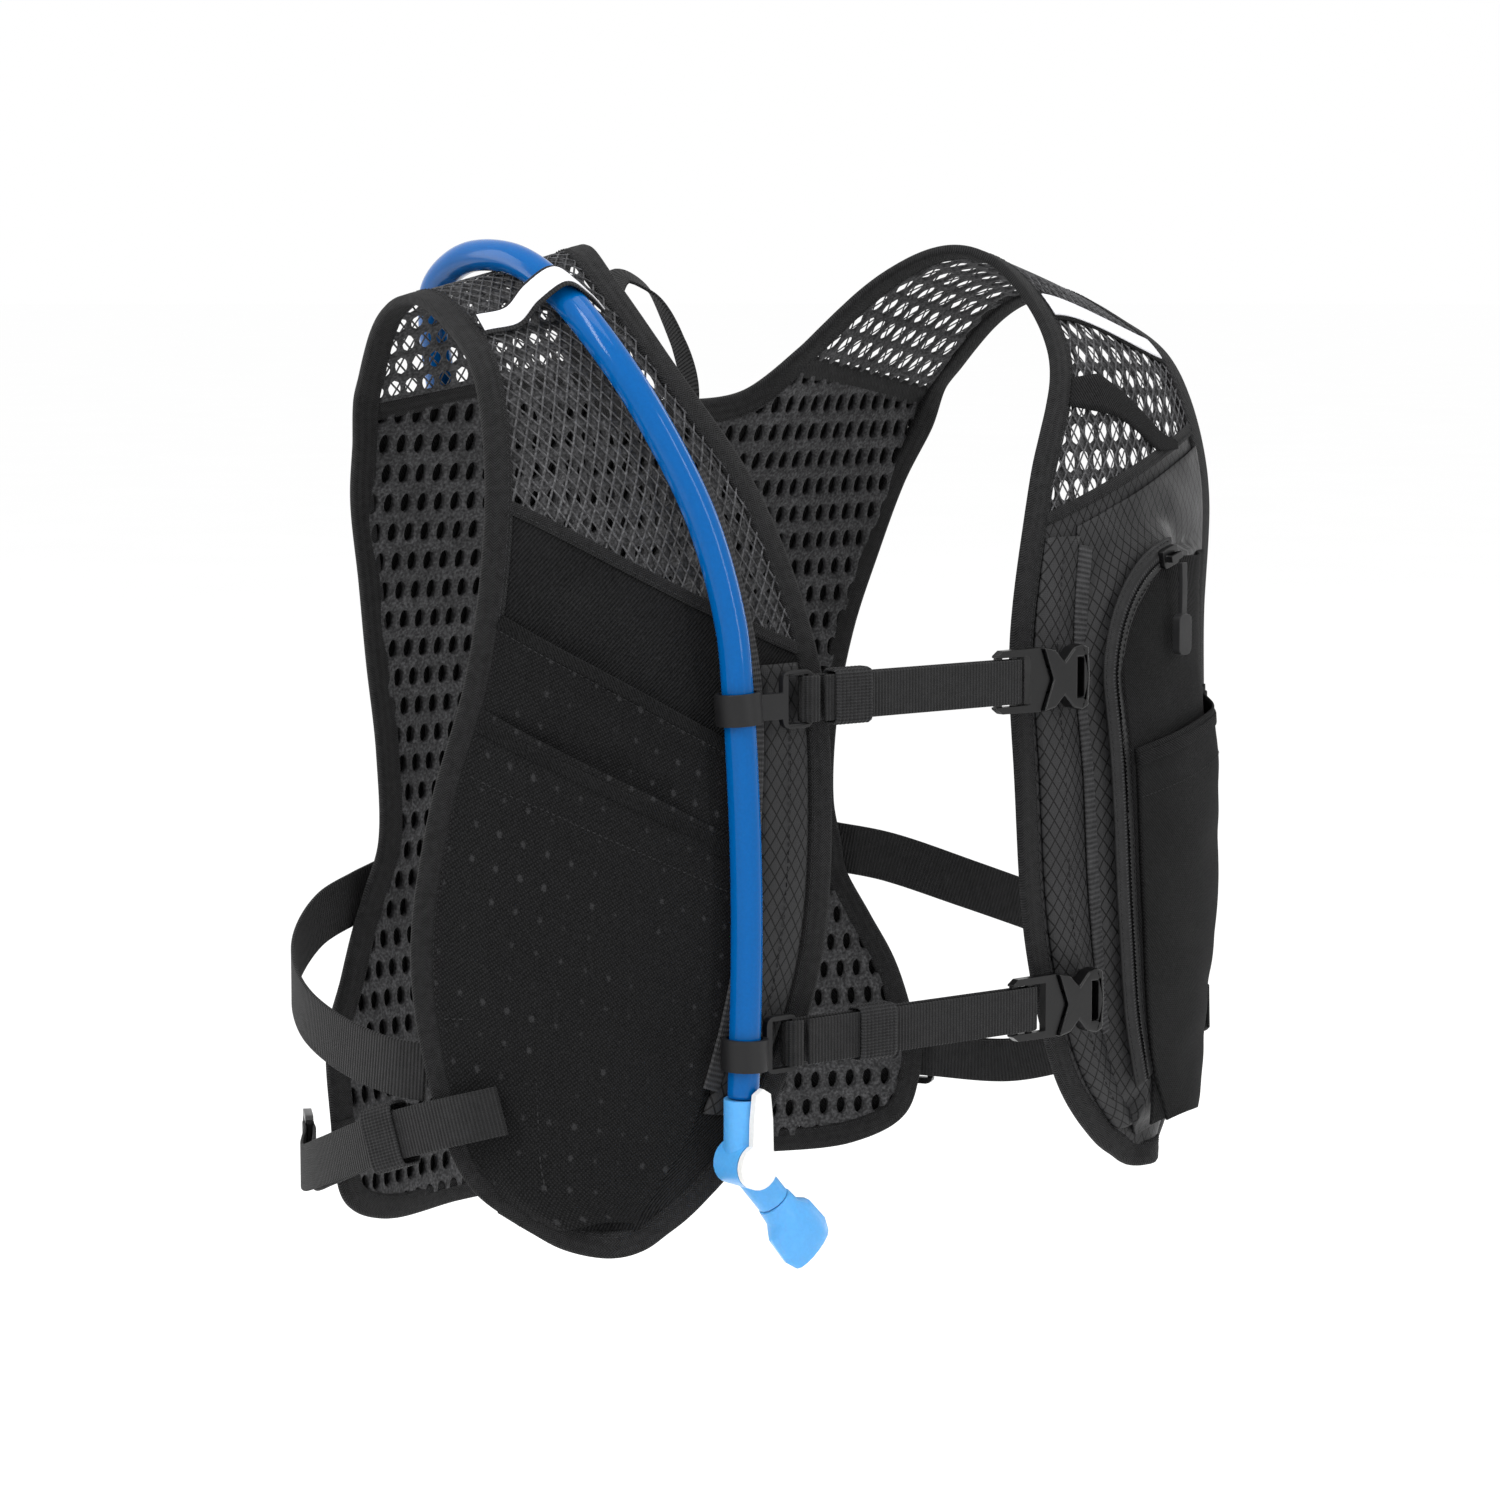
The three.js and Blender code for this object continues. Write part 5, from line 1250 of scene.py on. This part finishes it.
# ------------------------------------------------------------------ chest straps
def sleeve(name, centre, along, wide, flat, length, size, material, body, replaces):
    """Ribbed elastic sleeve: a loop of thin band round a strap."""
    along, wide, flat = (unit(v) for v in (along, wide, flat))
    half_w, half_t, corner = size[0] / 2, size[1] / 2, size[1] / 2.2
    turn = np.linspace(0, 2 * np.pi, 96, endpoint=False)
    power = 0.32
    x = np.sign(np.cos(turn)) * np.abs(np.cos(turn)) ** power * half_w
    y = np.sign(np.sin(turn)) * np.abs(np.sin(turn)) ** power * half_t
    path = np.asarray(centre, float) + x[:, None] * wide + y[:, None] * flat
    step = np.roll(path, -1, 0) - np.roll(path, 1, 0)
    out = unit(np.cross(np.broadcast_to(along, path.shape), step))
    out *= np.sign(np.sum(out * (path - centre), -1, keepdims=True))
    stops = np.linspace(-length / 2, length / 2, 61)
    ribs = 0.5 + 0.22 * np.cos(stops * 2 * np.pi / 1.7)
    ribs[[0, -1]] = 0.15
    profile = [(s, h) for s, h in zip(stops, ribs)] + [(stops[-1], -0.3), (stops[0], -0.3)]
    sweep(name, path, np.broadcast_to(along, path.shape), out, profile, material, closed=True,
          body=body, replaces=(replaces,), slot="elastic")


def chest_strap(name, z, ring_shift, buckle_shift, keeper_x):
    tail = [(-54 + ring_shift, -111), (-20 + ring_shift, -110.7)]
    loop = [(31, -110.4), (36, -109.9), (37.4, -108.5), (36, -107.1), (31, -106.6)]
    ring = [(-46, -106.2), (-56, -105.6), (-60.4, -105.4), (-61.7, -106.6), (-61.7, -109.6),
            (-60.4, -110.9), (-56.6, -111)]
    plan = tail + [(x + buckle_shift, y) for x, y in loop] + [(x + ring_shift, y) for x, y in ring]
    path = [(x, y, z) for x, y in plan]
    ribbon(f"chest_webbing_{name}", path, UP, 16, 1.2, MAT["webbing"], 220, body=f"strap_{name}",
           replaces=(f"sternum_webbing_{name}",), slot="webbing")
    sleeve(f"chest_keeper_{name}", (keeper_x, -108.6, z), (1, 0, 0), (0, 0, 1), (0, 1, 0), 16,
           (18.2, 7.8), MAT["elastic"], f"keeper_{name}", f"strap_keeper_{name}")


chest_strap("upper", -152, 0, 0, -42)
chest_strap("lower", -271, -7, 8.5, -30.5)

# ------------------------------------------------------------------ side straps
LOCK_AT = np.array([146, 78, -327.0])
AHEAD, BESIDE = np.array([0.484, -0.875, 0]), np.array([0.875, 0.484, 0])


def at_lock(a, n):
    return LOCK_AT + AHEAD * a + BESIDE * n


UPPER_ROUTE = [(95, 98, -235.5), (106, 95.5, -238), (115, 93, -240), (136, 84, -245), (161, 62, -256),
               (178, 30, -266), (184, -4, -273), (182, -34, -277), (176.5, -46.5, -278)]
LOWER_ROUTE = [(172.5, -46, -297), (180, -22, -305), (177, 12, -318), (166, 42, -327),
               *[tuple(at_lock(a, n)) for a, n in (
                   (10, -1.7), (3, -1.5), (-1.6, -1.5), (-3.2, -0.9), (-3.2, 0.9), (-1.6, 1.5),
                   (3, 1.5), (10, 1.7))],
               (169.5, 44.5, -327), (180.6, 13, -318), (183.6, -23, -305), (178.4, -50, -296),
               (172, -66, -291), (165, -75, -288)]
KEEPER_AT = np.array([180.3, -29.6, -302.5])
KEEPER_TURN = Matrix.Rotation(math.radians(-12), 3, "Z") @ Matrix.Rotation(math.radians(-19), 3, "X")
for side_name, side in SIDES:
    mirror = np.array([side, 1, 1])
    ribbon(f"side_webbing_upper_{side_name}", np.array(UPPER_ROUTE) * mirror, UP, 20, 1.5,
           MAT["webbing"], 160, replaces=(f"side_strap_upper_{side_name}",), slot="webbing")
    ribbon(f"side_webbing_lower_{side_name}", np.array(LOWER_ROUTE) * mirror, UP, 17, 1.2,
           MAT["webbing"], 320, replaces=(f"side_strap_lower_{side_name}",), slot="webbing")
    axes = [np.array(KEEPER_TURN @ Vector(v)) * mirror for v in ((0, 1, 0), (0, 0, 1), (1, 0, 0))]
    sleeve(f"side_sleeve_{side_name}", KEEPER_AT * mirror, *axes, 15, (21.6, 9.2),
           MAT["elastic"], f"keeper_side_{side_name}", f"side_keeper_{side_name}")

# ------------------------------------------------------------------ drinking tube
HOSE_R = 5.5
HOSE_ROUTE = [
    (-65, 112, -243), (-65.5, 112, -225), (-66, 110, -200), (-66.5, 107, -175), (-66, 101, -150),
    (-65.5, 94, -130), (-68, 89, -113), (-72, 86, -98), (-77, 79.5, -81), (-86, 71, -64),
    (-98, 59, -43), (-109, 46, -25), (-116.5, 33, -13), (-120, 17, -5), (-121.5, 0, -1.2),
    (-122, -26, -3), (-121.5, -50, -13.5), (-118.5, -71, -31), (-110.5, -87, -55),
    (-97.5, -98.5, -90), (-90, -104.5, -125), (-88, -106, -150), (-86.6, -106.6, -175),
    (-85.6, -107, -200), (-85.2, -107.2, -225), (-85.4, -107.2, -250), (-86, -107, -272),
    (-86.4, -106.8, -288)]
hose_path = curve_through(HOSE_ROUTE, 460)
hose_along = tangents(hose_path)
hose_side = unit(np.array([1.0, 0, 0]) - hose_along * hose_along[:, :1])
hose = sweep("drink_tube", hose_path, hose_side, np.cross(hose_side, hose_along),
             round_profile(HOSE_R, 28), MAT["tube"], replaces=("drink_hose",), slot="blue_tube")

# ------------------------------------------------------------------ reservoir
BLADDER_HALF = np.array([52, 12.5, 82.0])
BLADDER_AT = np.array([0, 121, -216.0])


def bladder():
    """Soft film pouch: a pillow with a flat welded rim and shallow creases."""
    turn = np.linspace(0, 2 * np.pi, 96, endpoint=False)
    tilt = np.linspace(-0.49, 0.49, 48) * np.pi
    a, b = np.meshgrid(turn, tilt, indexing="ij")

    def power(value, exponent):
        return np.sign(value) * np.abs(value) ** exponent

    waist = np.cos(b)
    x = waist ** 0.6 * power(np.cos(a), 0.7)
    y = waist ** 0.8 * np.sin(a)
    z = power(np.sin(b), 0.7)
    points = np.stack([x, y, z], -1) * (BLADDER_HALF - (1, 1.5, 1)) + BLADDER_AT
    crease = folds(points, (16, 40, 24), 1.2, 60.1)
    points[..., 1] += crease * np.sin(a) * ease(np.abs(np.sin(a)) * 2)
    flat = points.reshape(-1, 3)
    uv = np.stack([a * 16, b * 40], -1).reshape(-1, 2)
    return build("water_pouch", flat, outward(flat, ring_faces(*a.shape)), MAT["film"], uv=uv,
                 replaces=("reservoir_bladder",), slot="bladder_film")


bladder()
ribbon("pouch_hanger_strap", [(0, 120, -132.5), (0, 118, -120), (0, 113, -106), (0, 104, -97)],
       (1, 0, 0), 22, 1.4, MAT["webbing"], 40, replaces=("reservoir_hanger",), slot="webbing")

# ------------------------------------------------------------------ moulded parts from the CAD
SHOWN = {
    "strap_hook_upper": ("grey", 0.7), "strap_hook_lower": ("grey", 0.7),
    "buckle_male_upper": ("gloss", 0.6), "buckle_male_lower": ("gloss", 0.6),
    "buckle_female_upper": ("gloss", 0.9), "buckle_female_lower": ("gloss", 0.9),
    "side_ladder_lock_left": ("gloss", 0.6), "side_ladder_lock_right": ("gloss", 0.6),
    "front_zip_slider": ("gloss", 0.3), "front_zip_pull": ("grey", 0.5),
    "rear_zip_slider": ("gloss", 0.3), "rear_zip_pull": ("grey", 0.5),
    "hose_exit_collar": ("gloss", 0.5), "reservoir_collar": ("gloss", 0.6),
    "reservoir_cap": ("tube", 0.6), "hose_port": ("gloss", 0.5), "hose_connector": ("grey", 0.5),
    "connector_button": ("tube", 0.3), "bite_valve_elbow": ("valve", 0.6),
    "bite_mouthpiece": ("valve", 0.8), "shutoff_lever": ("lever", 0.5),
}


def finish_moulding(obj, material, edge):
    """Rounded edges and smooth faces on a moulded part."""
    obj.data.materials.clear()
    obj.data.materials.append(material)
    weld = obj.modifiers.new("weld", "WELD")
    weld.merge_threshold = 0.00002
    bevel = obj.modifiers.new("edges", "BEVEL")
    bevel.width = edge * MM
    bevel.segments = 3
    bevel.limit_method = "ANGLE"
    bevel.angle_limit = math.radians(28)
    bevel.use_clamp_overlap = True
    smooth = obj.modifiers.new("shade", "WEIGHTED_NORMAL")
    smooth.keep_sharp = True
    obj.data.polygons.foreach_set("use_smooth", [True] * len(obj.data.polygons))


for node, (look_name, edge) in SHOWN.items():
    finish_moulding(NODES[node], MAT[look_name], edge)


# ------------------------------------------------------------------ studio
def studio():
    """Wide pale floor below the vest."""
    shader = Shader("studio_white", (0.99, 0.99, 0.99), 1.0, Specular_IOR_Level=0.0)
    shader.tint(shader.noise(3, 1), (0.985, 0.985, 0.985), (1.0, 1.0, 1.0))
    floor_z, reach, count = -0.72, 60.0, 64
    points = [(reach * math.cos(2 * math.pi * i / count), reach * math.sin(2 * math.pi * i / count),
               floor_z) for i in range(count)]
    mesh = bpy.data.meshes.new("floor")
    mesh.from_pydata(points, [], [tuple(range(count))])
    mesh.materials.append(shader.material)
    obj = bpy.data.objects.new("floor", mesh)
    bpy.context.scene.collection.objects.link(obj)


studio()
bpy.context.scene.view_settings.view_transform = "Standard"
